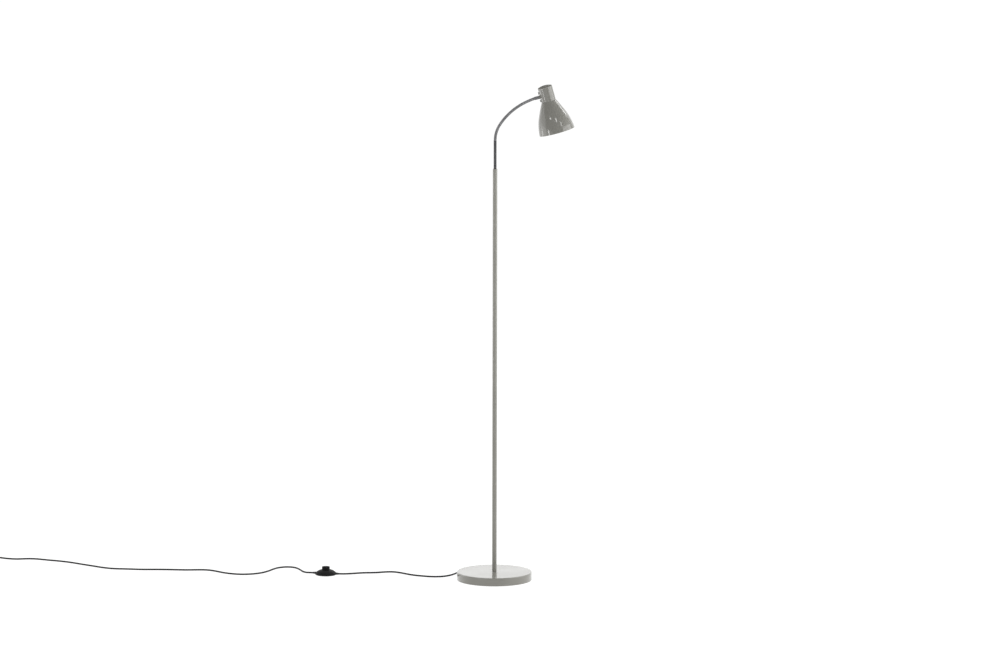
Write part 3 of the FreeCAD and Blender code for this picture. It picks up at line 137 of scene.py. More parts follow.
camera_data = bpy.data.cameras.new("camera")
camera_data.lens = 216.0
camera_data.sensor_width = 36.0
camera_data.clip_end = 100.0
camera = bpy.data.objects.new("camera", camera_data)
bpy.context.scene.collection.objects.link(camera)
camera.location = (0.0148, -16.853, 3.245)
PITCH = math.radians(90.0 - 8.555)
ROLL = math.radians(0.11)
camera.matrix_world = (Matrix.Translation(camera.location) @ Matrix.Rotation(PITCH, 4, "X")
                       @ Matrix.Rotation(ROLL, 4, "Z"))
bpy.context.scene.camera = camera
bpy.context.scene.view_settings.view_transform = "Standard"

# ---- Placements ----


def metres(place):
    """Point in metres of one in millimetres."""
    return Vector(place) * MM


def placement(place, turn=0.0, axis="Z"):
    """Move by a point in millimetres after a turn in degrees."""
    return Matrix.Translation(metres(place)) @ Matrix.Rotation(math.radians(turn), 4, axis)


def neck_station(distance):
    """Point in the XZ plane and lean from upright at a distance along the neck."""
    across, height, lean = 0.0, NECK_START, 0.0
    last = len(NECK_ARCS) - 1
    for index, (radius, turn) in enumerate(NECK_ARCS):
        step = distance if index == last else min(distance, radius * math.radians(turn))
        after = lean + step / radius
        across += radius * (math.cos(lean) - math.cos(after))
        height += radius * (math.sin(after) - math.sin(lean))
        lean = after
        distance -= step
    return Vector((across, 0.0, height)), lean


NECK_LENGTH = sum(radius * math.radians(turn) for radius, turn in NECK_ARCS)
HOSE_LENGTH = NECK_LENGTH - END_SLEEVE_LENGTH
JOINT_SPACING = (HOSE_LENGTH - LINK_GAP) / (NECK_JOINTS - 1)
JOINT_STATIONS = [LINK_GAP + index * JOINT_SPACING for index in range(NECK_JOINTS)]

ALONG_X = Matrix.Rotation(math.radians(90), 4, "Y")
OUTWARD = placement((0, 0, EXIT_HEIGHT), EXIT_AZIMUTH) @ ALONG_X
SWITCH = placement(SWITCH_AT + (0,), SWITCH_TURN)
last_joint = neck_station(JOINT_STATIONS[-1])[0]
head_turn = Matrix.Rotation(math.radians(-HEAD_TILT), 4, "Y")
entry = Vector((-NECK_FACE - COLLAR_LENGTH - END_SLEEVE_LENGTH, 0, NECK_ENTRY_HEIGHT))
HEAD = placement(last_joint - head_turn @ entry) @ head_turn
HEAD_SKIN = HEAD @ placement((CAP_OFFSET, 0, 0))
COIL = placement(COIL_START, COIL_HEADING)
plug_drop = COIL_START[2] + COIL_PITCH - PLUG_THICKNESS / 2 - FLOOR_GAP
plug_reach = PLUG_LENGTH + PLUG_RELIEF_LENGTH + COIL_TAIL / 2
plug_bend = Vector((COIL_TAIL / 2, COIL_PITCH, COIL_PITCH))
plug_turn = Matrix.Rotation(math.asin(plug_drop / plug_reach), 4, "Y")
plug_start = plug_bend + plug_turn @ Vector((COIL_TAIL / 2, 0, 0))
PLUG = COIL @ placement(plug_start) @ plug_turn

# ---- Shader groups ----

WHITE = (1, 1, 1, 1)
COLOUR, NUMBER = "NodeSocketColor", "NodeSocketFloat"


def new_group(name, inputs, outputs):
    """Shader node group with named inputs, colours or numbers by their values, and outputs."""
    group = bpy.data.node_groups.new(name, "ShaderNodeTree")
    for label, value in inputs:
        kind = COLOUR if isinstance(value, tuple) else NUMBER
        socket = group.interface.new_socket(label, in_out="INPUT", socket_type=kind)
        socket.default_value = value
    for label, kind in outputs:
        group.interface.new_socket(label, in_out="OUTPUT", socket_type=kind)
    return group, group.nodes.new("NodeGroupInput"), group.nodes.new("NodeGroupOutput")


def add(tree, kind, **settings):
    """New shader node with its settings."""
    node = tree.nodes.new("ShaderNode" + kind)
    for key, value in settings.items():
        setattr(node, key, value)
    return node


def noise(tree, vector, scale, detail, roughness=0.5):
    """Noise texture on a vector socket; the scale is a number or a socket."""
    node = add(tree, "TexNoise")
    tree.links.new(vector, node.inputs["Vector"])
    if isinstance(scale, (int, float)):
        node.inputs["Scale"].default_value = scale
    else:
        tree.links.new(scale, node.inputs["Scale"])
    node.inputs["Detail"].default_value = detail
    node.inputs["Roughness"].default_value = roughness
    return node.outputs["Fac"]


def ramp(tree, value, low, high, low_out=0.0, high_out=1.0):
    """Value mapped smoothly from one range to another."""
    node = add(tree, "MapRange", interpolation_type="SMOOTHSTEP")
    tree.links.new(value, node.inputs["Value"])
    for label, number in (("From Min", low), ("From Max", high),
                          ("To Min", low_out), ("To Max", high_out)):
        if isinstance(number, (int, float)):
            node.inputs[label].default_value = number
        else:
            tree.links.new(number, node.inputs[label])
    return node.outputs["Result"]


def mix_colour(tree, factor, first, second):
    """Mix of two colours; each argument is a socket."""
    node = add(tree, "Mix", data_type="RGBA")
    tree.links.new(factor, node.inputs["Factor"])
    tree.links.new(first, node.inputs[6])
    tree.links.new(second, node.inputs[7])
    return node.outputs[2]


def times(tree, first, second):
    """Product of two value sockets."""
    node = add(tree, "Math", operation="MULTIPLY")
    tree.links.new(first, node.inputs[0])
    tree.links.new(second, node.inputs[1])
    return node.outputs[0]


def make_mottle():
    """Slow drift between two shades of a colour, with a matching roughness."""
    tree, given, result = new_group(
        "mottle",
        [("Colour", WHITE), ("Second Colour", WHITE), ("Scale", 30.0), ("Smooth", 0.3),
         ("Dull", 0.4)],
        [("Colour", COLOUR), ("Roughness", NUMBER)])
    place = add(tree, "TexCoord").outputs["Object"]
    drift = noise(tree, place, given.outputs["Scale"], 3.0)
    mask = ramp(tree, drift, 0.35, 0.65)
    colour = mix_colour(tree, mask, given.outputs["Colour"], given.outputs["Second Colour"])
    tree.links.new(colour, result.inputs["Colour"])
    rough = ramp(tree, drift, 0.3, 0.7, given.outputs["Smooth"], given.outputs["Dull"])
    tree.links.new(rough, result.inputs["Roughness"])
    return tree


def make_edge_wear():
    """Thin worn or polished look on convex edges, broken up by noise."""
    tree, given, result = new_group(
        "edge_wear",
        [("Colour", WHITE), ("Worn Colour", WHITE), ("Amount", 0.5)],
        [("Colour", COLOUR), ("Mask", NUMBER)])
    place = add(tree, "TexCoord").outputs["Object"]
    pointed = add(tree, "NewGeometry").outputs["Pointiness"]
    edge = ramp(tree, pointed, 0.52, 0.60)
    patchy = ramp(tree, noise(tree, place, 350.0, 4.0), 0.45, 0.7)
    mask = times(tree, times(tree, edge, patchy), given.outputs["Amount"])
    colour = mix_colour(tree, mask, given.outputs["Colour"], given.outputs["Worn Colour"])
    tree.links.new(colour, result.inputs["Colour"])
    tree.links.new(mask, result.inputs["Mask"])
    return tree


def make_settled_dust():
    """Light dust on faces that look up in the piece's own frame."""
    tree, given, result = new_group(
        "settled_dust",
        [("Colour", WHITE), ("Dust Colour", (0.5, 0.48, 0.45, 1)), ("Amount", 0.1)],
        [("Colour", COLOUR)])
    coordinates = add(tree, "TexCoord")
    parts = add(tree, "SeparateXYZ")
    tree.links.new(coordinates.outputs["Normal"], parts.inputs[0])
    upward = ramp(tree, parts.outputs["Z"], 0.5, 1.0)
    specks = ramp(tree, noise(tree, coordinates.outputs["Object"], 900.0, 6.0, 0.7), 0.5, 0.75)
    mask = times(tree, times(tree, upward, specks), given.outputs["Amount"])
    colour = mix_colour(tree, mask, given.outputs["Colour"], given.outputs["Dust Colour"])
    tree.links.new(colour, result.inputs["Colour"])
    return tree


def make_grain():
    """Height of a fine surface grain with a broader wave under it."""
    tree, given, result = new_group(
        "grain",
        [("Scale", 1000.0), ("Wave Scale", 100.0), ("Wave Share", 0.5)],
        [("Height", NUMBER)])
    place = add(tree, "TexCoord").outputs["Object"]
    fine = noise(tree, place, given.outputs["Scale"], 2.0)
    wave = noise(tree, place, given.outputs["Wave Scale"], 1.0)
    both = add(tree, "Mix", data_type="FLOAT")
    tree.links.new(given.outputs["Wave Share"], both.inputs["Factor"])
    tree.links.new(fine, both.inputs[2])
    tree.links.new(wave, both.inputs[3])
    tree.links.new(both.outputs[0], result.inputs["Height"])
    return tree


MOTTLE = make_mottle()
EDGE_WEAR = make_edge_wear()
SETTLED_DUST = make_settled_dust()
GRAIN = make_grain()


def placed_group(tree, group, **values):
    """A group in a material; a value is a number, a colour or a socket."""
    node = add(tree, "Group", node_tree=group)
    for label, value in values.items():
        socket = node.inputs[label.replace("_", " ")]
        if isinstance(value, bpy.types.NodeSocket):
            tree.links.new(value, socket)
        else:
            socket.default_value = value
    return node


# ---- Materials ----


def finish(name, colour, second, mottle_scale=30.0, smooth=0.3, dull=0.4, grain=1000.0, wave=100.0,
           wave_share=0.5, bump=0.1, bump_depth=0.00005, worn=None, wear=0.0, dust=0.0, **sockets):
    """Material with colour drift, worn edges, dust and a grain; sockets go on the shader itself."""
    material = bpy.data.materials.new(name)
    material.use_nodes = True
    tree = material.node_tree
    shader = tree.nodes["Principled BSDF"]
    body = placed_group(tree, MOTTLE, Colour=(*colour, 1), Second_Colour=(*second, 1),
                        Scale=mottle_scale, Smooth=smooth, Dull=dull)
    edges = placed_group(tree, EDGE_WEAR, Colour=body.outputs["Colour"],
                         Worn_Colour=(*(worn or second), 1), Amount=wear)
    top = placed_group(tree, SETTLED_DUST, Colour=edges.outputs["Colour"], Amount=dust)
    height = placed_group(tree, GRAIN, Scale=grain, Wave_Scale=wave, Wave_Share=wave_share)
    relief = add(tree, "Bump")
    relief.inputs["Strength"].default_value = bump
    relief.inputs["Distance"].default_value = bump_depth
    tree.links.new(height.outputs["Height"], relief.inputs["Height"])
    tree.links.new(top.outputs["Colour"], shader.inputs["Base Color"])
    tree.links.new(body.outputs["Roughness"], shader.inputs["Roughness"])
    tree.links.new(relief.outputs["Normal"], shader.inputs["Normal"])
    for label, value in sockets.items():
        shader.inputs[label.replace("_", " ")].default_value = value
    return material


STAND_PAINT = dict(mottle_scale=9.0, grain=700.0, wave=260.0, wave_share=0.7, bump=0.12,
                   bump_depth=0.00004, worn=(0.30, 0.295, 0.27), wear=0.25, dust=0.05,
                   Specular_IOR_Level=0.3)
HEAD_PAINT = dict(mottle_scale=14.0, wave=220.0, bump=0.14, worn=(0.28, 0.275, 0.25), wear=0.3)
LACQUER = finish("gloss_grey_lacquer", (0.222, 0.217, 0.193), (0.209, 0.204, 0.180),
                 smooth=0.32, dull=0.40, Coat_Weight=1.0, Coat_Roughness=0.05, **STAND_PAINT)
POLE_LACQUER = finish("gloss_grey_pole_lacquer", (0.245, 0.240, 0.214),
                      (0.232, 0.227, 0.201), smooth=0.34, dull=0.42, Coat_Weight=0.4,
                      Coat_Roughness=0.08, **STAND_PAINT)
SHADE_LACQUER = finish("gloss_grey_shade_lacquer", (0.196, 0.193, 0.172),
                       (0.185, 0.181, 0.161), smooth=0.32, dull=0.40, grain=700.0,
                       wave_share=0.7, dust=0.05, Coat_Weight=1.0, Coat_Roughness=0.06,
                       Specular_IOR_Level=0.3, **HEAD_PAINT)
# darker, duller copy of the head lacquer for the cap's crown: painted shade where the top faces a
# dark ceiling
SHADED_CROWN_LACQUER = finish("crown_lacquer_painted_shade", (0.150, 0.148, 0.133),
                       (0.138, 0.136, 0.121), smooth=0.55, dull=0.65, grain=900.0, dust=0.04,
                       Specular_IOR_Level=0.08, **HEAD_PAINT)
SHADE_LINING = finish("white_shade_lining", (0.80, 0.79, 0.75), (0.76, 0.75, 0.71),
                      mottle_scale=25.0, smooth=0.38, dull=0.5, grain=800.0, wave=240.0, bump=0.12,
                      worn=(0.6, 0.58, 0.52), wear=0.3)
PLATING = finish("dark_bright_plating", (0.055, 0.055, 0.057), (0.045, 0.045, 0.047),
                 mottle_scale=40.0, smooth=0.16, dull=0.26, grain=1500.0, wave=300.0, bump=0.05,
                 worn=(0.5, 0.5, 0.5), wear=0.5, Metallic=1.0)
HOSE_METAL = finish("hose_plating", (0.205, 0.205, 0.21), (0.165, 0.165, 0.17),
                    mottle_scale=60.0, smooth=0.30, dull=0.42, grain=1800.0, wave=500.0, bump=0.06,
                    worn=(0.32, 0.32, 0.32), wear=0.6, Metallic=1.0)
ZINC = finish("zinc_plated_steel", (0.48, 0.48, 0.47), (0.38, 0.38, 0.37),
              mottle_scale=120.0, smooth=0.28, dull=0.45, grain=2500.0, wave=400.0, bump=0.1,
              worn=(0.7, 0.7, 0.7), wear=0.6, Metallic=1.0)
BRASS = finish("bright_brass", (0.62, 0.46, 0.20), (0.50, 0.36, 0.15),
               mottle_scale=90.0, smooth=0.2, dull=0.38, grain=2500.0, wave=500.0, bump=0.08,
               worn=(0.8, 0.62, 0.32), wear=0.5, Metallic=1.0)
ALUMINIUM = finish("bulb_aluminium", (0.62, 0.62, 0.62), (0.50, 0.50, 0.50),
                   mottle_scale=120.0, smooth=0.3, dull=0.45, grain=2500.0, wave=500.0, bump=0.1,
                   Metallic=1.0)
BLACK_PLASTIC = finish("black_moulded_plastic", (0.0080, 0.0080, 0.0082),
                       (0.0060, 0.0060, 0.0063), mottle_scale=60.0, smooth=0.46,
                       dull=0.58, grain=2600.0, wave=900.0, wave_share=0.4, bump=0.35,
                       bump_depth=0.00004, worn=(0.05, 0.05, 0.05), wear=0.5, dust=0.03,
                       Specular_IOR_Level=0.12)
BUTTON_PLASTIC = finish("black_button_plastic", (0.0085, 0.0085, 0.009),
                        (0.007, 0.007, 0.0074), mottle_scale=70.0, smooth=0.5,
                        dull=0.62, grain=2600.0, wave=900.0, bump=0.2,
                        worn=(0.04, 0.04, 0.04), wear=0.5, dust=0.02,
                        Specular_IOR_Level=0.08)
RUBBER = finish("black_soft_rubber", (0.012, 0.012, 0.012), (0.016, 0.016, 0.016),
                mottle_scale=80.0, smooth=0.5, dull=0.65, grain=3000.0, wave=900.0, bump=0.3,
                worn=(0.05, 0.05, 0.05), wear=0.4, dust=0.15)
CORD_PLASTIC = finish("black_cord_sheath", (0.0115, 0.0115, 0.012), (0.015, 0.015, 0.015),
                      mottle_scale=50.0, smooth=0.42, dull=0.56, grain=2400.0, wave=450.0,
                      bump=0.25, dust=0.04, Specular_IOR_Level=0.15)
FOAM = finish("dark_foam", (0.03, 0.03, 0.03), (0.02, 0.02, 0.02), mottle_scale=200.0,
              smooth=0.85, dull=0.95, grain=1600.0, wave=500.0, bump=0.8, bump_depth=0.0002)
CEMENT = finish("cast_cement", (0.38, 0.37, 0.34), (0.28, 0.27, 0.25), mottle_scale=60.0,
                smooth=0.85, dull=0.95, grain=1200.0, wave=200.0, bump=0.7, bump_depth=0.0003)
HOLDER_PLASTIC = finish("white_moulded_holder", (0.74, 0.73, 0.69), (0.68, 0.67, 0.63),
                        mottle_scale=60.0, smooth=0.34, dull=0.45, grain=2400.0, wave=600.0,
                        bump=0.15, worn=(0.8, 0.8, 0.78), wear=0.3)
CORE_PLASTIC = finish("core_insulation", (0.05, 0.05, 0.05), (0.07, 0.07, 0.07),
                      mottle_scale=90.0, smooth=0.4, dull=0.55, grain=2000.0, wave=500.0, bump=0.1)
FROSTED_GLASS = finish("frosted_bulb_glass", (0.90, 0.90, 0.88), (0.86, 0.86, 0.84),
                       mottle_scale=40.0, smooth=0.22, dull=0.3, grain=1500.0, wave=300.0,
                       bump=0.05, Transmission_Weight=0.35, IOR=1.45)

# ---- Piece making ----

# faces round a turned piece, more for a wider one
SHELL_STEPS = 160
SWITCH_STEPS = 112
CAP_STEPS = 96
BULB_STEPS = 72
POLE_STEPS = 64
SLEEVE_STEPS = 48
SCREW_STEPS = 40
PIN_STEPS = 32


def corner_arc(before, corner, after, radius, count):
    """Points that round one corner of an outline."""
    back = (Vector(before) - Vector(corner)).normalized()
    ahead = (Vector(after) - Vector(corner)).normalized()
    half = back.angle(ahead) / 2
    setback = radius / math.tan(half)
    setback = min(setback, 0.45 * (Vector(before) - Vector(corner)).length,
                  0.45 * (Vector(after) - Vector(corner)).length)
    start = Vector(corner) + back * setback
    end = Vector(corner) + ahead * setback
    points = []
    for index in range(count + 1):
        share = index / count
        first = start.lerp(Vector(corner), share)
        second = Vector(corner).lerp(end, share)
        points.append(tuple(first.lerp(second, share)))
    return points


def rounded(outline, radius, count=4, closed=True):
    """Outline with every corner rounded, in the outline's own units."""
    points = []
    total = len(outline)
    for index, corner in enumerate(outline):
        if not closed and index in (0, total - 1):
            points.append(corner)
            continue
        before = outline[index - 1]
        after = outline[(index + 1) % total]
        turn = (Vector(corner) - Vector(before)).angle(Vector(after) - Vector(corner))
        if turn < math.radians(12):
            points.append(corner)
        else:
            points += corner_arc(before, corner, after, radius, count)
    return points


def arc_through(first, middle, last, count):
    """Points on the circle through three outline points."""
    (ax, ay), (bx, by), (cx, cy) = first, middle, last
    d = 2 * (ax * (by - cy) + bx * (cy - ay) + cx * (ay - by))
    a2, b2, c2 = ax * ax + ay * ay, bx * bx + by * by, cx * cx + cy * cy
    centre = Vector(((a2 * (by - cy) + b2 * (cy - ay) + c2 * (ay - by)) / d,
                     (a2 * (cx - bx) + b2 * (ax - cx) + c2 * (bx - ax)) / d))
    start = Vector(first) - centre
    sweep = start.angle_signed(Vector(middle) - centre) + (Vector(middle) - centre).angle_signed(
        Vector(last) - centre)
    points = []
    for index in range(count + 1):
        arm = start.copy()
        arm.rotate(Matrix.Rotation(-sweep * index / count, 2))
        points.append(tuple(centre + arm))
    return points


def lathe(outline, steps, closed=True):
    """Bmesh of an outline spun once round Z; the outline may end on the axis."""
    bm = bmesh.new()
    points = [bm.verts.new((radius * MM, 0, height * MM)) for radius, height in outline]
    pairs = list(zip(points, points[1:]))
    if closed:
        pairs.append((points[-1], points[0]))
    edges = [bm.edges.new(pair) for pair in pairs]
    bmesh.ops.spin(bm, geom=points + edges, cent=(0, 0, 0), axis=(0, 0, 1),
                   angle=math.tau, steps=steps, use_merge=True)
    bmesh.ops.remove_doubles(bm, verts=bm.verts, dist=0.002 * MM)
    return bm


def turned(outline, edge, count, steps, closed=True):
    """Bmesh of an outline spun once round Z after its corners are rounded."""
    return lathe(rounded(outline, edge, count, closed), steps, closed)


def flex_rings(start, step, radii, insets, shares):
    """Outline of a relief's rings: four insets from each ring's radius, at shares of a step."""
    return [(radius - inset, start + index * step + share * step)
            for index, radius in enumerate(radii) for inset, share in zip(insets, shares)]


def add_piece(name, bm, body, materials, replaced=(), matrix=None, weighted=True):
    """Object from a bmesh, placed in its mesh, riding on a body in place of CAD nodes."""
    if matrix is not None:
        bmesh.ops.transform(bm, matrix=matrix, verts=bm.verts)
    bmesh.ops.recalc_face_normals(bm, faces=bm.faces)
    mesh = bpy.data.meshes.new(name)
    bm.to_mesh(mesh)
    bm.free()
    for material in materials:
        mesh.materials.append(material)
    for polygon in mesh.polygons:
        polygon.use_smooth = True
    piece = bpy.data.objects.new(name, mesh)
    bpy.context.scene.collection.objects.link(piece)
    if weighted:
        modifier = piece.modifiers.new("even_shading", "WEIGHTED_NORMAL")
        modifier.weight = 50
        modifier.keep_sharp = True
    if body:
        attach(piece, body)
    if replaced:
        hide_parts(*replaced)
    return piece


def join_into(bm, other):
    """Add one bmesh to another."""
    mesh = bpy.data.meshes.new("joined")
    other.to_mesh(mesh)
    other.free()
    bm.from_mesh(mesh)
    bpy.data.meshes.remove(mesh)
    return bm


# ---- Cords ----


def tip_and_lead(matrix, x, side, height):
    """A fitting's tip on its X axis and the point where the cord may first turn, in metres."""
    return [matrix @ metres((side * (x + reach), 0, height)) for reach in (0.0, CORD_LEAD_IN)]


def cord_curve(name, points):
    """Round cord along one smooth spline whose control points are the route's."""
    curve = bpy.data.curves.new(name, "CURVE")
    curve.dimensions = "3D"
    curve.bevel_depth = CORD_RADIUS * MM
    curve.bevel_resolution = 4
    curve.resolution_u = 6
    curve.use_fill_caps = True
    spline = curve.splines.new("NURBS")
    spline.points.add(len(points) - 1)
    for target, point in zip(spline.points, points):
        target.co = (*point, 1.0)
    spline.order_u = 3
    spline.use_endpoint_u = True
    spline.use_smooth = True
    curve.materials.append(CORD_PLASTIC)
    piece = bpy.data.objects.new(name, curve)
    bpy.context.scene.collection.objects.link(piece)
    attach(piece, "stand")
    return piece


COIL_POINTS_PER_HALF_TURN = 8


def coil_points():
    """Control points of the put-away coil: in below, up a layer, out above, and its tail."""
    points = [Vector((0, 0, 0))]
    start_y, level = 0.0, 0.0
    for index, step in enumerate(COIL_HALF_TURNS):
        radius = COIL_RADIUS - COIL_PITCH + step * COIL_PITCH
        side = 1 if index % 2 == 0 else -1
        centre_y = start_y + side * radius
        reach = radius / math.cos(math.pi / COIL_POINTS_PER_HALF_TURN / 2) ** 0.5
        for count in range(COIL_POINTS_PER_HALF_TURN):
            share = (count + 0.5) / COIL_POINTS_PER_HALF_TURN
            angle = math.pi * (index + share) - math.pi / 2
            height = level + (COIL_PITCH * share if index == COIL_CLIMB else 0.0)
            points.append(Vector((reach * math.cos(angle), centre_y + reach * math.sin(angle),
                                  height)))
        if index == COIL_CLIMB:
            level = COIL_PITCH
        start_y += side * 2 * radius
    points.append(Vector((COIL_TAIL * 0.15, COIL_PITCH, COIL_PITCH)))
    points += [plug_bend, plug_start]
    return [COIL @ metres(point) for point in points]


bush_tip = OUTWARD @ metres((0, 0, BUSH_TIP))
bush_lead = OUTWARD @ metres((0, 0, BUSH_TIP + CORD_LEAD_IN))
switch_lamp_side = tip_and_lead(SWITCH, SWITCH_TIP, 1, SWITCH_CORD_HEIGHT)
switch_plug_side = tip_and_lead(SWITCH, SWITCH_TIP, -1, SWITCH_CORD_HEIGHT)
coil_lead = COIL @ metres((-2 * CORD_RADIUS, 0, 0))
lamp_cord = cord_curve("cord_from_lamp", [bush_tip, bush_lead]
                       + [metres(point) for point in ROUTE_LAMP_TO_SWITCH]
                       + switch_lamp_side[::-1])
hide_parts("cord_lamp_to_switch")
plug_cord = cord_curve("cord_from_switch", switch_plug_side
                       + [metres(point) for point in ROUTE_SWITCH_TO_COIL]
                       + [coil_lead] + coil_points())
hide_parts("cord_switch_to_coil", "cord_coil")

# ---- Base ----


def base_cover():
    """Spun cover with a rounded shoulder and a rolled lower lip."""
    inner = BASE_RADIUS - COVER_SHEET
    under = BASE_HEIGHT - COVER_SHEET
    shoulder = corner_arc((COVER_HOLE, BASE_HEIGHT), (BASE_RADIUS, BASE_HEIGHT),
                          (BASE_RADIUS, COVER_LIFT), COVER_SHOULDER, 8)
    inside = corner_arc((inner, COVER_LIFT), (inner, under), (COVER_HOLE, under),
                        COVER_SHOULDER - COVER_SHEET, 4)
    lip = corner_arc((BASE_RADIUS, COVER_MIDDLE), (BASE_RADIUS, COVER_LIFT),
                     (inner, COVER_LIFT), 0.4, 3)
    # rings at 60 and 95 break up the flat top, so that its shading stays even
    outline = ([(COVER_HOLE, BASE_HEIGHT), (60, BASE_HEIGHT), (95, BASE_HEIGHT)] + shoulder
               + [(BASE_RADIUS, COVER_MIDDLE)] + lip
               + [(inner, COVER_LIFT), (inner, COVER_MIDDLE)] + inside
               + [(60, under), (COVER_HOLE, under)])
    return lathe(outline, SHELL_STEPS)


add_piece("turned_base_cover", base_cover(), "stand", [LACQUER], ["base_cover"])


def base_bush():
    """Tapered rubber bush with its flange, ringed along the taper so that it can flex."""
    bore = CORD_RADIUS + CORD_CLEARANCE
    wall = BASE_RADIUS
    outline = [(bore, wall - 3.2), (5.2, wall - 3.2), (5.2, wall - 1.2), (4.0, wall - 1.1),
               (4.0, wall - 0.2), (5.2, wall - 0.1), (5.2, wall + 2.0), (4.0, wall + 2.2)]
    rings = 6
    start = wall + 2.4
    outline += flex_rings(start, (BUSH_TIP - 1.5 - start) / rings,
                          [4.0 - 0.65 * index / rings for index in range(rings)],
                          (0, 0, 0.35, 0.35), (0.15, 0.6, 0.7, 0.95))
    outline += [(3.25, BUSH_TIP - 1.2), (3.25, BUSH_TIP), (bore, BUSH_TIP)]
    return turned(outline, 0.18, 2, SLEEVE_STEPS)


add_piece("ringed_cord_bush", base_bush(), "stand", [RUBBER], ["cord_bush"],
          OUTWARD)

# ---- Pole ----

POLE_LENGTH = POLE_TOP - BASE_HEIGHT
for index, node in enumerate(("pole_lower", "pole_middle", "pole_upper")):
    low = BASE_HEIGHT + index * POLE_LENGTH / 3
    high = low + POLE_LENGTH / 3
    ends = [(POLE_BORE, low), (POLE_RADIUS, low), (POLE_RADIUS, (low + high) / 2),
            (POLE_RADIUS, high), (POLE_BORE, high)]
    add_piece("turned_" + node, turned(ends, 0.18, 3, POLE_STEPS), "stand",
              [POLE_LACQUER], [node])

top_bush = [(3.2, POLE_TOP - 24), (4.95, POLE_TOP - 24), (4.95, POLE_TOP), (POLE_RADIUS, POLE_TOP),
            (POLE_RADIUS, POLE_TOP + 0.75), (5.75, POLE_TOP + 1.5), (3.85, POLE_TOP + 1.5),
            (3.85, POLE_TOP - ROOT_DEPTH), (3.2, POLE_TOP - ROOT_DEPTH)]
add_piece("turned_pole_top_bush", turned(top_bush, 0.25, 3, POLE_STEPS), "stand",
          [LACQUER], ["pole_top_bush"])

root_sleeve = [(ROOT_BORE, POLE_TOP - ROOT_DEPTH), (ROOT_SEAT, POLE_TOP - ROOT_DEPTH),
               (ROOT_SEAT, POLE_TOP + 1.6), (ROOT_RADIUS, POLE_TOP + 2.2),
               (ROOT_RADIUS, NECK_START - 0.05), (ROOT_BORE, NECK_START - 0.05)]
add_piece("turned_root_sleeve", turned(root_sleeve, 0.3, 3, SLEEVE_STEPS), "stand",
          [PLATING], ["neck_root_sleeve"])

# ---- Neck hose ----

HOSE_STEPS = 28
HOSE_BALL = 3.9
HOSE_PROFILE = ((3.82, 0.0), (3.82, 0.10), (4.10, 0.20), (4.25, 0.34), (4.25, 0.62), (4.14, 0.80),
                (3.88, 0.90))


def straight_hose(length):
    """Helically wound hose on Z: one pitch of its outline spun and raised turn after turn."""
    bm = bmesh.new()
    outline = [bm.verts.new((radius * MM, 0, share * HOSE_PITCH * MM))
               for radius, share in HOSE_PROFILE + ((HOSE_PROFILE[0][0], 1.0),)]
    edges = [bm.edges.new(pair) for pair in zip(outline, outline[1:])]
    turns = math.ceil(length / HOSE_PITCH) + 2
    bmesh.ops.spin(bm, geom=outline + edges, cent=(0, 0, 0), axis=(0, 0, 1), angle=math.tau * turns,
                   steps=HOSE_STEPS * turns, dvec=(0, 0, HOSE_PITCH * MM / HOSE_STEPS))
    bmesh.ops.translate(bm, verts=bm.verts, vec=(0, 0, -HOSE_PITCH * MM))
    bmesh.ops.remove_doubles(bm, verts=bm.verts, dist=0.02 * MM)
    return bm


def cut_hose(whole, low, high):
    """Copy of the straight hose between two heights, closed at both ends."""
    bm = whole.copy()
    for height, keep_below in ((low, False), (high, True)):
        bmesh.ops.bisect_plane(bm, geom=bm.verts[:] + bm.edges[:] + bm.faces[:], dist=1e-7,
                               plane_co=(0, 0, height * MM), plane_no=(0, 0, 1),
                               clear_outer=keep_below, clear_inner=not keep_below)
        rim = [edge for edge in bm.edges if edge.is_boundary
               and all(abs(v.co.z - height * MM) < 1e-6 for v in edge.verts)]
        bmesh.ops.holes_fill(bm, edges=rim, sides=0)
    return bm


def bend_along_neck(bm):
    """Lay a straight length on Z along the neck's arcs."""
    for vertex in bm.verts:
        centre, lean = neck_station(vertex.co.z / MM)
        across = Vector((math.cos(lean), 0, -math.sin(lean)))
        vertex.co = centre * MM + across * vertex.co.x + Vector((0, vertex.co.y, 0))
    return bm


whole_hose = straight_hose(HOSE_LENGTH)
cuts = [0.0] + JOINT_STATIONS
for index, (low, high) in enumerate(zip(cuts, cuts[1:])):
    length = bend_along_neck(cut_hose(whole_hose, low, high))
    # a ball at the upper joint fills the gap that opens where two lengths turn apart
    bmesh.ops.create_uvsphere(length, u_segments=24, v_segments=16, radius=HOSE_BALL * MM,
                              matrix=placement(neck_station(high)[0]))
    if index == 0:
        add_piece("wound_hose_root", length, "stand", [HOSE_METAL], weighted=False)
    else:
        add_piece("wound_hose_%02d" % index, length, "hose_%02d" % index,
                  [HOSE_METAL], ["link_%02d" % index], weighted=False)
whole_hose.free()

# ---- Head ----
# Outlines are in the head's own frame, with the joint of cap and shade at height 0.

FROM_NECK = HEAD @ placement(entry) @ ALONG_X
spigot_end = END_SLEEVE_LENGTH + 9.5
end_sleeve = [(1.5, 0), (END_SLEEVE_RADIUS, 0), (END_SLEEVE_RADIUS, END_SLEEVE_LENGTH),
              (3.6, END_SLEEVE_LENGTH), (3.6, spigot_end), (1.5, spigot_end)]
add_piece("turned_end_sleeve", turned(end_sleeve, 0.3, 3, SLEEVE_STEPS), "head",
          [HOSE_METAL], ["neck_end_sleeve"], FROM_NECK)

collar_end = END_SLEEVE_LENGTH + COLLAR_LENGTH + 0.7
collar = [(3.65, END_SLEEVE_LENGTH), (COLLAR_RADIUS, END_SLEEVE_LENGTH),
          (COLLAR_RADIUS, collar_end), (3.65, collar_end)]
add_piece("turned_neck_collar", turned(collar, 0.45, 3, SLEEVE_STEPS), "head",
          [SHADE_LACQUER], ["neck_collar"], FROM_NECK)


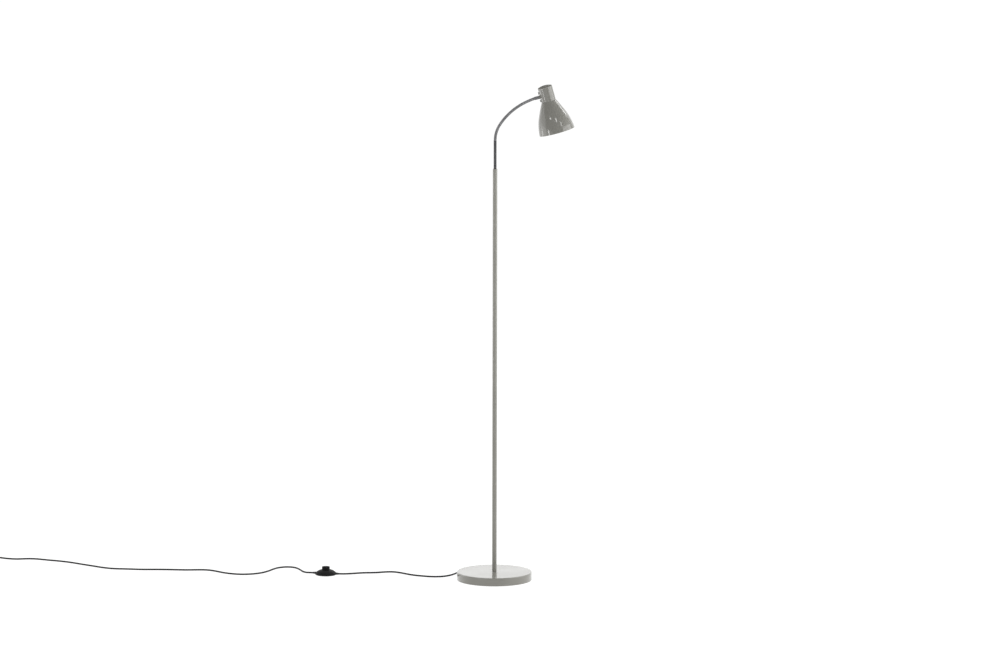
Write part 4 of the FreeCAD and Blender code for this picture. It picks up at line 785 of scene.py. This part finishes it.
def shade_cap():
    """Closed cap with a domed crown, a rounded edge and a rolled lower edge."""
    crown_radius = (CAP_RADIUS ** 2 + CAP_CROWN ** 2) / (2 * CAP_CROWN)
    crown_centre = CAP_CORNER + CAP_CROWN - crown_radius
    across = CAP_RADIUS - CAP_EDGE_RADIUS
    above = math.sqrt((crown_radius - CAP_EDGE_RADIUS) ** 2 - across ** 2)
    slope = math.atan2(across, above)

    def top(inset):
        radius, edge = crown_radius - inset, CAP_EDGE_RADIUS - inset
        dome = [slope * step / 12 for step in range(12)]
        turns = [slope + (math.pi / 2 - slope) * step / 8 for step in range(9)]
        return ([(radius * math.sin(turn), crown_centre + radius * math.cos(turn)) for turn in dome]
                + [(across + edge * math.sin(turn), crown_centre + above + edge * math.cos(turn))
                   for turn in turns])

    inner = CAP_RADIUS - CAP_SHEET
    lip = corner_arc((CAP_RADIUS, 20), (CAP_RADIUS, 0), (inner, 0), 0.5, 4)
    outline = top(0) + [(CAP_RADIUS, 20)] + lip + [(inner, 0), (inner, 20)] + top(CAP_SHEET)[::-1]
    bm = lathe(outline, CAP_STEPS, closed=False)
    # faces above the cap's corner take the darker copy of the lacquer, painted shade on the crown
    for face in bm.faces:
        face.material_index = 1 if face.calc_center_median().z > (CAP_CORNER - 0.6) * MM else 0
    return bm


add_piece("turned_shade_cap", shade_cap(), "head",
          [SHADE_LACQUER, SHADED_CROWN_LACQUER], ["shade_cap"], HEAD_SKIN)


def shade_curve(inset, count):
    """The bell's side from its top to its mouth, as two arcs."""
    flare = MOUTH_RADIUS - CAP_RADIUS
    points = [(CAP_RADIUS + share * flare - inset, -part * SHADE_LENGTH)
              for part, share in SHADE_FLARE]
    return arc_through(*points[:3], count)[:-1] + arc_through(*points[2:], count)


def shade():
    """Bell of sheet metal: lacquered outside, white inside, with a soft rolled rim."""
    outside = shade_curve(0, 16)
    inside = [point for point in reversed(shade_curve(1.0, 16)) if point[1] < -1.2]
    rim = [(MOUTH_RADIUS - 0.22, -SHADE_LENGTH), (MOUTH_RADIUS - 0.78, -SHADE_LENGTH)]
    above_rim = -SHADE_LENGTH + 0.3
    outline = ([(SHADE_HOLE, 0), (18.5, 0)] + outside[:-1] + [(MOUTH_RADIUS - 0.02, above_rim)]
               + rim + [(MOUTH_RADIUS - 0.98, above_rim)] + inside[1:]
               + [(18.2, -1.0), (SHADE_HOLE, -1.0)])
    bm = lathe(outline, SHELL_STEPS)
    for face in bm.faces:
        centre = face.calc_center_median() / MM
        radius = math.hypot(centre.x, centre.y)
        nearest = min(outside, key=lambda point: abs(point[1] - centre.z))
        inner = radius < nearest[0] - 0.6 and centre.z < -0.6
        face.material_index = 1 if inner else 0
    return bm


add_piece("spun_shade", shade(), "head", [SHADE_LACQUER, SHADE_LINING], ["shade"],
          HEAD_SKIN)


def clamping_ring():
    """Ring under the shade's top with grip ribs round it."""
    bore, radius, ribs = 14.05, 17.4, 24
    ring = [(bore, -7), (radius, -7), (radius, -1), (bore, -1)]
    bm = turned(ring, 0.4, 3, CAP_STEPS)
    for index in range(ribs):
        rib = bmesh.new()
        bmesh.ops.create_cube(rib, size=1.0)
        bmesh.ops.bevel(rib, geom=rib.edges[:], offset=0.2, offset_type="OFFSET", affect="EDGES",
                        segments=2, profile=0.5, material=-1)
        bmesh.ops.scale(rib, verts=rib.verts, vec=(1.2 * MM, 1.3 * MM, 5.0 * MM))
        bmesh.ops.translate(rib, verts=rib.verts, vec=(radius * MM, 0, -4.0 * MM))
        bmesh.ops.rotate(rib, verts=rib.verts, cent=(0, 0, 0),
                         matrix=Matrix.Rotation(math.tau * index / ribs, 3, "Z"))
        join_into(bm, rib)
    return bm


add_piece("ribbed_shade_ring", clamping_ring(), "head", [HOLDER_PLASTIC],
          ["shade_ring"], HEAD)

add_piece("moulded_lampholder",
          lathe([(0, 6.5), (7.6, 6.5), (7.6, -15.6), (8.0, -16), (13.6, -16), (14.0, -15.6),
                 (14.0, -0.05), (16.2, 0), (16.5, 0.3), (16.5, 2.7), (16.2, 3.1), (9.4, 4.9),
                 (9.2, 5.2), (9.2, 33.6), (8.8, 34), (0, 34)], BULB_STEPS, closed=False),
          "head", [HOLDER_PLASTIC], ["lampholder_body"], HEAD)


def threaded_bulb_base():
    """Screw cap of the bulb with its rolled thread and end contact."""
    outline = [(0, BULB_TOP), (2.5, BULB_TOP), (4.2, 3.6), (6.4, 2.25)]
    pitch = 2.8
    for index in range(6):
        top = 1.6 - index * pitch
        outline += [(6.45, top), (6.85, top - 0.7), (6.85, top - 1.1), (6.45, top - 1.9)]
    outline += [(BULB_NECK, -15.6), (BULB_NECK, BULB_SHOULDER), (0, BULB_SHOULDER)]
    return turned(outline, 0.2, 2, SLEEVE_STEPS, closed=False)


add_piece("threaded_bulb_base", threaded_bulb_base(), "head", [ALUMINIUM],
          ["bulb_base"], HEAD)


def bulb_globe():
    """Glass globe that runs tangent into its neck."""
    centre = BULB_TOP - BULB_LENGTH + BULB_RADIUS
    drop = BULB_SHOULDER - centre
    bearing = math.atan2(drop, BULB_NECK) - math.acos(BULB_RADIUS / math.hypot(BULB_NECK, drop))
    outline = [(0, BULB_SHOULDER), (6.0, BULB_SHOULDER), (BULB_NECK, BULB_SHOULDER - 0.6)]
    count = 28
    for index in range(count + 1):
        angle = bearing + (-math.pi / 2 - bearing) * index / count
        outline.append((max(BULB_RADIUS * math.cos(angle), 0.0),
                        centre + BULB_RADIUS * math.sin(angle)))
    return lathe(outline, BULB_STEPS, closed=False)


add_piece("frosted_bulb", bulb_globe(), "head", [FROSTED_GLASS], ["bulb_glass"],
          HEAD)


def slotted_screw(height):
    """Round-head screw on the cap's neck side, with a slot across its head."""
    radius, rise, slot, depth = 3.7, 2.9, 0.45, 0.9
    dome = corner_arc((radius, 0), (radius, rise), (0, rise), 2.2, 6)
    shank = [(0, -4), (1.9, -4), (1.9, 0), (3.5, 0), (radius, 0.3)]
    bm = lathe(shank + dome + [(0, rise)], SCREW_STEPS, closed=False)
    for side in (-1, 1):
        bmesh.ops.bisect_plane(bm, geom=bm.verts[:] + bm.edges[:] + bm.faces[:], dist=1e-7,
                               plane_co=(0, side * slot * MM, 0), plane_no=(0, 1, 0))
    groove = [face for face in bm.faces if abs(face.calc_center_median().y) < slot * MM
              and face.calc_center_median().z > 0.5 * MM]
    sunk = bmesh.ops.extrude_face_region(bm, geom=groove)
    walls = [item for item in sunk["geom"] if isinstance(item, bmesh.types.BMVert)]
    bmesh.ops.translate(bm, verts=walls, vec=(0, 0, -depth * MM))
    bmesh.ops.delete(bm, geom=groove, context="FACES")
    outward = placement((-CAP_RADIUS, 0, height)) @ Matrix.Rotation(math.radians(-90), 4, "Y")
    bmesh.ops.transform(bm, matrix=HEAD_SKIN @ outward, verts=bm.verts)
    return bm


screws = slotted_screw(NECK_ENTRY_HEIGHT - HEAD_SCREW_OFFSET)
join_into(screws, slotted_screw(NECK_ENTRY_HEIGHT + HEAD_SCREW_OFFSET))
add_piece("slotted_head_screws", screws, "head", [ZINC], ["head_screws"])

# ---- Foot switch ----

foot = [(0, 0), (27.8, 0), (28.4, 0.1), (31.2, 2.1), (SWITCH_RADIUS, 2.4),
        (SWITCH_RADIUS, 3.3), (31.3, 3.4), (29.6, 3.4), (29.6, 2.0), (0, 2.0)]
add_piece("moulded_switch_base", lathe(foot, SWITCH_STEPS, closed=False), "stand",
          [BLACK_PLASTIC], ["switch_base"], SWITCH)


def switch_dome():
    """Dome with a rounded rim and a raised lip round the button."""
    rim, top = (SWITCH_RADIUS, 3.4), (12.2, 15.0)
    span, rise = rim[0] - top[0], top[1] - rim[1]
    shoulder = (rim[0] - 0.45 * span, rim[1] + 0.7 * rise)
    outer = arc_through(rim, shoulder, top, 20)
    inner = [(radius - 1.0, height - 1.5) for radius, height in outer if height > 5.5]
    lip = [(12.1, 15.15), (11.75, 15.2), (11.55, 15.0), (11.5, 14.6)]
    outline = ([(31.15, 3.45), (31.38, 3.6)] + outer[1:-1] + lip + [(11.5, 13.0)]
               + list(reversed(inner))[1:] + [(29.6, 4.0)])
    return lathe(outline, SWITCH_STEPS)


add_piece("moulded_switch_cover", switch_dome(), "stand", [BLACK_PLASTIC],
          ["switch_cover"], SWITCH)


def foot_button():
    """Hollow button with a flange, a dished top and shallow grip rings."""
    side = [(9.2, 9.1), (12.8, 9.1), (12.8, 10.6), (11.2, 10.6)]
    crown = corner_arc((11.2, 12), (11.2, 23.7), (0, 23.7), 1.2, 6)
    top = []
    for radius in (9.0, 7.0, 5.0, 3.0):
        top += [(radius, 23.62), (radius - 0.25, 23.4), (radius - 0.65, 23.4), (radius - 0.9, 23.6)]
    bm = lathe(side + crown + top + [(0, 23.55)], BULB_STEPS, closed=False)
    join_into(bm, lathe([(0, 21.7), (9.2, 21.7), (9.2, 9.1)], BULB_STEPS, closed=False))
    bmesh.ops.remove_doubles(bm, verts=bm.verts, dist=0.002 * MM)
    return bm


add_piece("moulded_foot_button", foot_button(), "button", [BUTTON_PLASTIC],
          ["switch_button"], SWITCH)


def switch_relief():
    """Tapered and ringed strain relief on the switch's X axis."""
    outline = [(0, 19.4), (3.5, 19.4), (3.5, 31.6)]
    rings = 3
    outline += flex_rings(31.8, 7.0 / rings, [3.3 - 0.7 * index / rings for index in range(rings)],
                          (0, 0, 0.25, 0.25), (0.1, 0.6, 0.7, 0.95))
    outline += [(2.6, SWITCH_TIP), (0, SWITCH_TIP)]
    return turned(outline, 0.15, 2, SCREW_STEPS, closed=False)


for node, turn in (("switch_relief_lamp", 0), ("switch_relief_plug", 180)):
    matrix = SWITCH @ placement((0, 0, SWITCH_CORD_HEIGHT), turn) @ ALONG_X
    add_piece("ringed_" + node, switch_relief(), "stand", [RUBBER], [node], matrix)

# ---- Coil's tie and plug ----


def tie_band():
    """Flat strap round the bundle: two rounded loops bridged and thickened along the cord."""
    offset = (COIL_PITCH + TIE_WIDTH) / 2
    innermost = math.sqrt((COIL_RADIUS - COIL_PITCH) ** 2 - offset ** 2)
    left, right = innermost - CORD_RADIUS - TIE_SLACK, COIL_RADIUS + CORD_RADIUS + TIE_SLACK
    low, high = -CORD_RADIUS - CORD_CLEARANCE, COIL_PITCH + CORD_RADIUS + TIE_SLACK
    bm = bmesh.new()
    loops = []
    for wall, radius in ((0.0, 1.2), (TIE_SHEET, 1.2 + TIE_SHEET)):
        corners = [(left - wall, low - wall), (right + wall, low - wall),
                   (right + wall, high + wall), (left - wall, high + wall)]
        points = [bm.verts.new((x * MM, 0, z * MM)) for x, z in rounded(corners, radius, 4)]
        loops += [bm.edges.new(pair) for pair in zip(points, points[1:] + points[:1])]
    ring = bmesh.ops.bridge_loops(bm, edges=loops)["faces"]
    raised = bmesh.ops.extrude_face_region(bm, geom=ring)["geom"]
    moved = [item for item in raised if isinstance(item, bmesh.types.BMVert)]
    bmesh.ops.translate(bm, verts=moved, vec=(0, TIE_WIDTH * MM, 0))
    along = COIL_RADIUS + COIL_PITCH / 2
    bmesh.ops.translate(bm, verts=bm.verts, vec=(0, (along - TIE_WIDTH / 2) * MM, 0))
    return bm


add_piece("coil_strap", tie_band(), "stand", [BLACK_PLASTIC], ["coil_tie"], COIL)


PLUG_FACE = PLUG_RELIEF_LENGTH + PLUG_LENGTH


def flat_plug():
    """Flat plug body with a soft outline, rounded all round and waisted for the fingers."""
    back, side = PLUG_RELIEF_LENGTH, PLUG_WIDTH / 2
    right = [(back, -7.5), (back + 10, -9.6), (PLUG_FACE - 14, -side), (PLUG_FACE, -side)]
    corners = right + [(x, -y) for x, y in reversed(right)]
    bm = bmesh.new()
    outline = [bm.verts.new((x * MM, y * MM, -PLUG_THICKNESS / 2 * MM))
               for x, y in rounded(corners, 3.5, 5)]
    floor = bm.faces.new(outline)
    raised = bmesh.ops.extrude_face_region(bm, geom=[floor])["geom"]
    moved = [item for item in raised if isinstance(item, bmesh.types.BMVert)]
    bmesh.ops.translate(bm, verts=moved, vec=(0, 0, PLUG_THICKNESS * MM))
    around = [edge for edge in bm.edges if abs(edge.verts[0].co.z - edge.verts[1].co.z) < 1e-7]
    bmesh.ops.bevel(bm, geom=around, offset=2.4 * MM, offset_type="OFFSET", affect="EDGES",
                    segments=5, profile=0.5, material=-1)
    return bm


add_piece("flat_plug", flat_plug(), "stand", [BLACK_PLASTIC], ["plug_body"], PLUG)


def plug_relief():
    """Long tapered relief with flex rings."""
    outline = [(0, 0), (3.2, 0)]
    rings = 7
    outline += flex_rings(0.8, (PLUG_RELIEF_LENGTH - 2.0) / rings,
                          [3.2 + 1.4 * (index + 0.5) / rings for index in range(rings)],
                          (0.3, 0.3, 0, 0), (0.05, 0.3, 0.4, 0.95))
    outline += [(4.6, PLUG_RELIEF_LENGTH), (0, PLUG_RELIEF_LENGTH)]
    return turned(outline, 0.2, 2, SLEEVE_STEPS, closed=False)


add_piece("ringed_plug_relief", plug_relief(), "stand", [RUBBER], ["plug_relief"],
          PLUG @ ALONG_X)

for name, slot, material, node, outline in (
        ("turned_plug_pins", "brass", BRASS, "plug_pins",
         [(0, PLUG_FACE - 8), (1.4, PLUG_FACE - 8), (1.4, PLUG_FACE + 10), (2.0, PLUG_FACE + 10),
          (2.0, PLUG_FACE + 18), (1.7, PLUG_FACE + 18.6), (1.0, PLUG_FACE + 19),
          (0, PLUG_FACE + 19)]),
        ("moulded_pin_sleeves", "black_plastic", BLACK_PLASTIC, "pin_sleeves",
         [(0, PLUG_FACE - 0.5), (1.98, PLUG_FACE - 0.5), (1.98, PLUG_FACE + 9.7),
          (1.8, PLUG_FACE + 9.9), (0, PLUG_FACE + 9.95)])):
    pair = bmesh.new()
    for side in (-1, 1):
        pin = turned(outline, 0.15, 2, PIN_STEPS, closed=False)
        matrix = placement((0, side * PIN_SPACING / 2, 0)) @ ALONG_X
        bmesh.ops.transform(pin, matrix=matrix, verts=pin.verts)
        join_into(pair, pin)
    add_piece(name, pair, "stand", [material], [node], PLUG)

# ---- Pieces that keep their CAD shape ----

KEPT_FINISHES = {
    CEMENT: ("base_weight",),
    FOAM: ("base_pad",),
    ZINC: ("pole_nipple", "nipple_washer", "nipple_nut", "anchor_screws", "pole_foot_insert",
           "pole_couplers", "head_bracket", "neck_nut", "switch_screws", "switch_spring"),
    BRASS: ("lampholder_shell", "lampholder_contact"),
    BLACK_PLASTIC: ("cord_anchor", "switch_block"),
    CORE_PLASTIC: ("base_lead", "head_lead", "switch_leads"),
    CORD_PLASTIC: ("cord_tail",),
}
for material, names in KEPT_FINISHES.items():
    for name in names:
        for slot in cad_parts[name].material_slots:
            slot.material = material

# ---- Stage and light ----

FLOOR_GLOW = 0.70
BACKDROP_GLOW = 0.23
FRONT_STRENGTH = 0.36
SWEEP_STRENGTH = 1.30


def sees_backdrop(tree):
    """Socket that is 1 for camera, mirror and glass rays, and 0 for the light that falls."""
    path = add(tree, "LightPath")
    total = path.outputs["Is Camera Ray"]
    for label in ("Is Glossy Ray", "Is Transmission Ray"):
        both = add(tree, "Math", operation="MAXIMUM")
        tree.links.new(total, both.inputs[0])
        tree.links.new(path.outputs[label], both.inputs[1])
        total = both.outputs[0]
    return total


def stage_floor():
    """White floor that still takes the lamp's shadow."""
    bm = bmesh.new()
    bmesh.ops.create_grid(bm, x_segments=1, y_segments=1, size=30.0)
    mesh = bpy.data.meshes.new("stage_floor")
    bm.to_mesh(mesh)
    bm.free()
    floor = bpy.data.objects.new("stage_floor", mesh)
    bpy.context.scene.collection.objects.link(floor)
    material = bpy.data.materials.new("white_floor")
    material.use_nodes = True
    tree = material.node_tree
    shader = tree.nodes["Principled BSDF"]
    shader.inputs["Roughness"].default_value = 0.9
    shader.inputs["Specular IOR Level"].default_value = 0.0
    shader.inputs["Base Color"].default_value = (0.2, 0.2, 0.2, 1)
    glow = add(tree, "Math", operation="MULTIPLY_ADD")
    tree.links.new(sees_backdrop(tree), glow.inputs[0])
    glow.inputs[1].default_value = BACKDROP_GLOW
    glow.inputs[2].default_value = FLOOR_GLOW
    shader.inputs["Emission Color"].default_value = WHITE
    tree.links.new(glow.outputs[0], shader.inputs["Emission Strength"])
    mesh.materials.append(material)


def studio_world():
    """White to the camera; a bright sweep behind and a dimmer studio in front for the light."""
    world = bpy.data.worlds.new("studio")
    bpy.context.scene.world = world
    world.use_nodes = True
    tree = world.node_tree
    background = tree.nodes["Background"]
    direction = add(tree, "TexCoord")
    parts = add(tree, "SeparateXYZ")
    tree.links.new(direction.outputs["Generated"], parts.inputs[0])
    sweep = ramp(tree, parts.outputs["Y"], 0.1, 0.95, FRONT_STRENGTH, SWEEP_STRENGTH)
    path = add(tree, "LightPath")
    strength = add(tree, "Mix", data_type="FLOAT")
    tree.links.new(path.outputs["Is Camera Ray"], strength.inputs["Factor"])
    tree.links.new(sweep, strength.inputs[2])
    strength.inputs[3].default_value = 1.0
    tree.links.new(strength.outputs[0], background.inputs["Strength"])
    background.inputs["Color"].default_value = WHITE


def soft_light(name, place, target, width, height, power):
    """Rectangular softbox that faces a point."""
    data = bpy.data.lights.new(name, "AREA")
    data.shape = "RECTANGLE"
    data.size = width
    data.size_y = height
    data.energy = power
    light = bpy.data.objects.new(name, data)
    bpy.context.scene.collection.objects.link(light)
    light.location = place
    light.rotation_euler = (Vector(target) - Vector(place)).to_track_quat("-Z", "Y").to_euler()


stage_floor()
studio_world()
soft_light("overhead_box", (0.0, 0.3, 3.6), (0, 0, 0), 2.8, 2.8, 26)
soft_light("right_wall", (2.6, -0.7, 1.2), (0, 0, 0.9), 3.2, 2.2, 58)
soft_light("right_front_strip", (2.0, -1.85, 1.75), (0.1, 0, 1.4), 0.25, 0.7, 0.6)
soft_light("right_back_strip", (1.85, 1.12, 2.75), (0.15, 0, 1.33), 0.45, 0.9, 7)
soft_light("left_wall", (-2.7, 0.2, 1.2), (0, 0, 0.9), 2.4, 2.0, 15)
soft_light("left_strip", (-2.2, -1.8, 0.65), (0, 0, 0.9), 0.4, 1.0, 9)
soft_light("left_back_strip", (-2.6, 0.75, 0.5), (0, 0, 0.9), 0.5, 0.8, 4.5)
soft_light("front_window_left", (-1.28, -2.29, 2.64), (0.15, 0, 1.33), 0.5, 0.35, 4.2)
soft_light("front_window_middle", (0.56, -2.57, 2.83), (0.15, 0, 1.33), 0.35, 0.5, 4.5)
soft_light("front_window_right", (1.82, -2.14, 2.6), (0.15, 0, 1.33), 0.5, 0.5, 3.2)
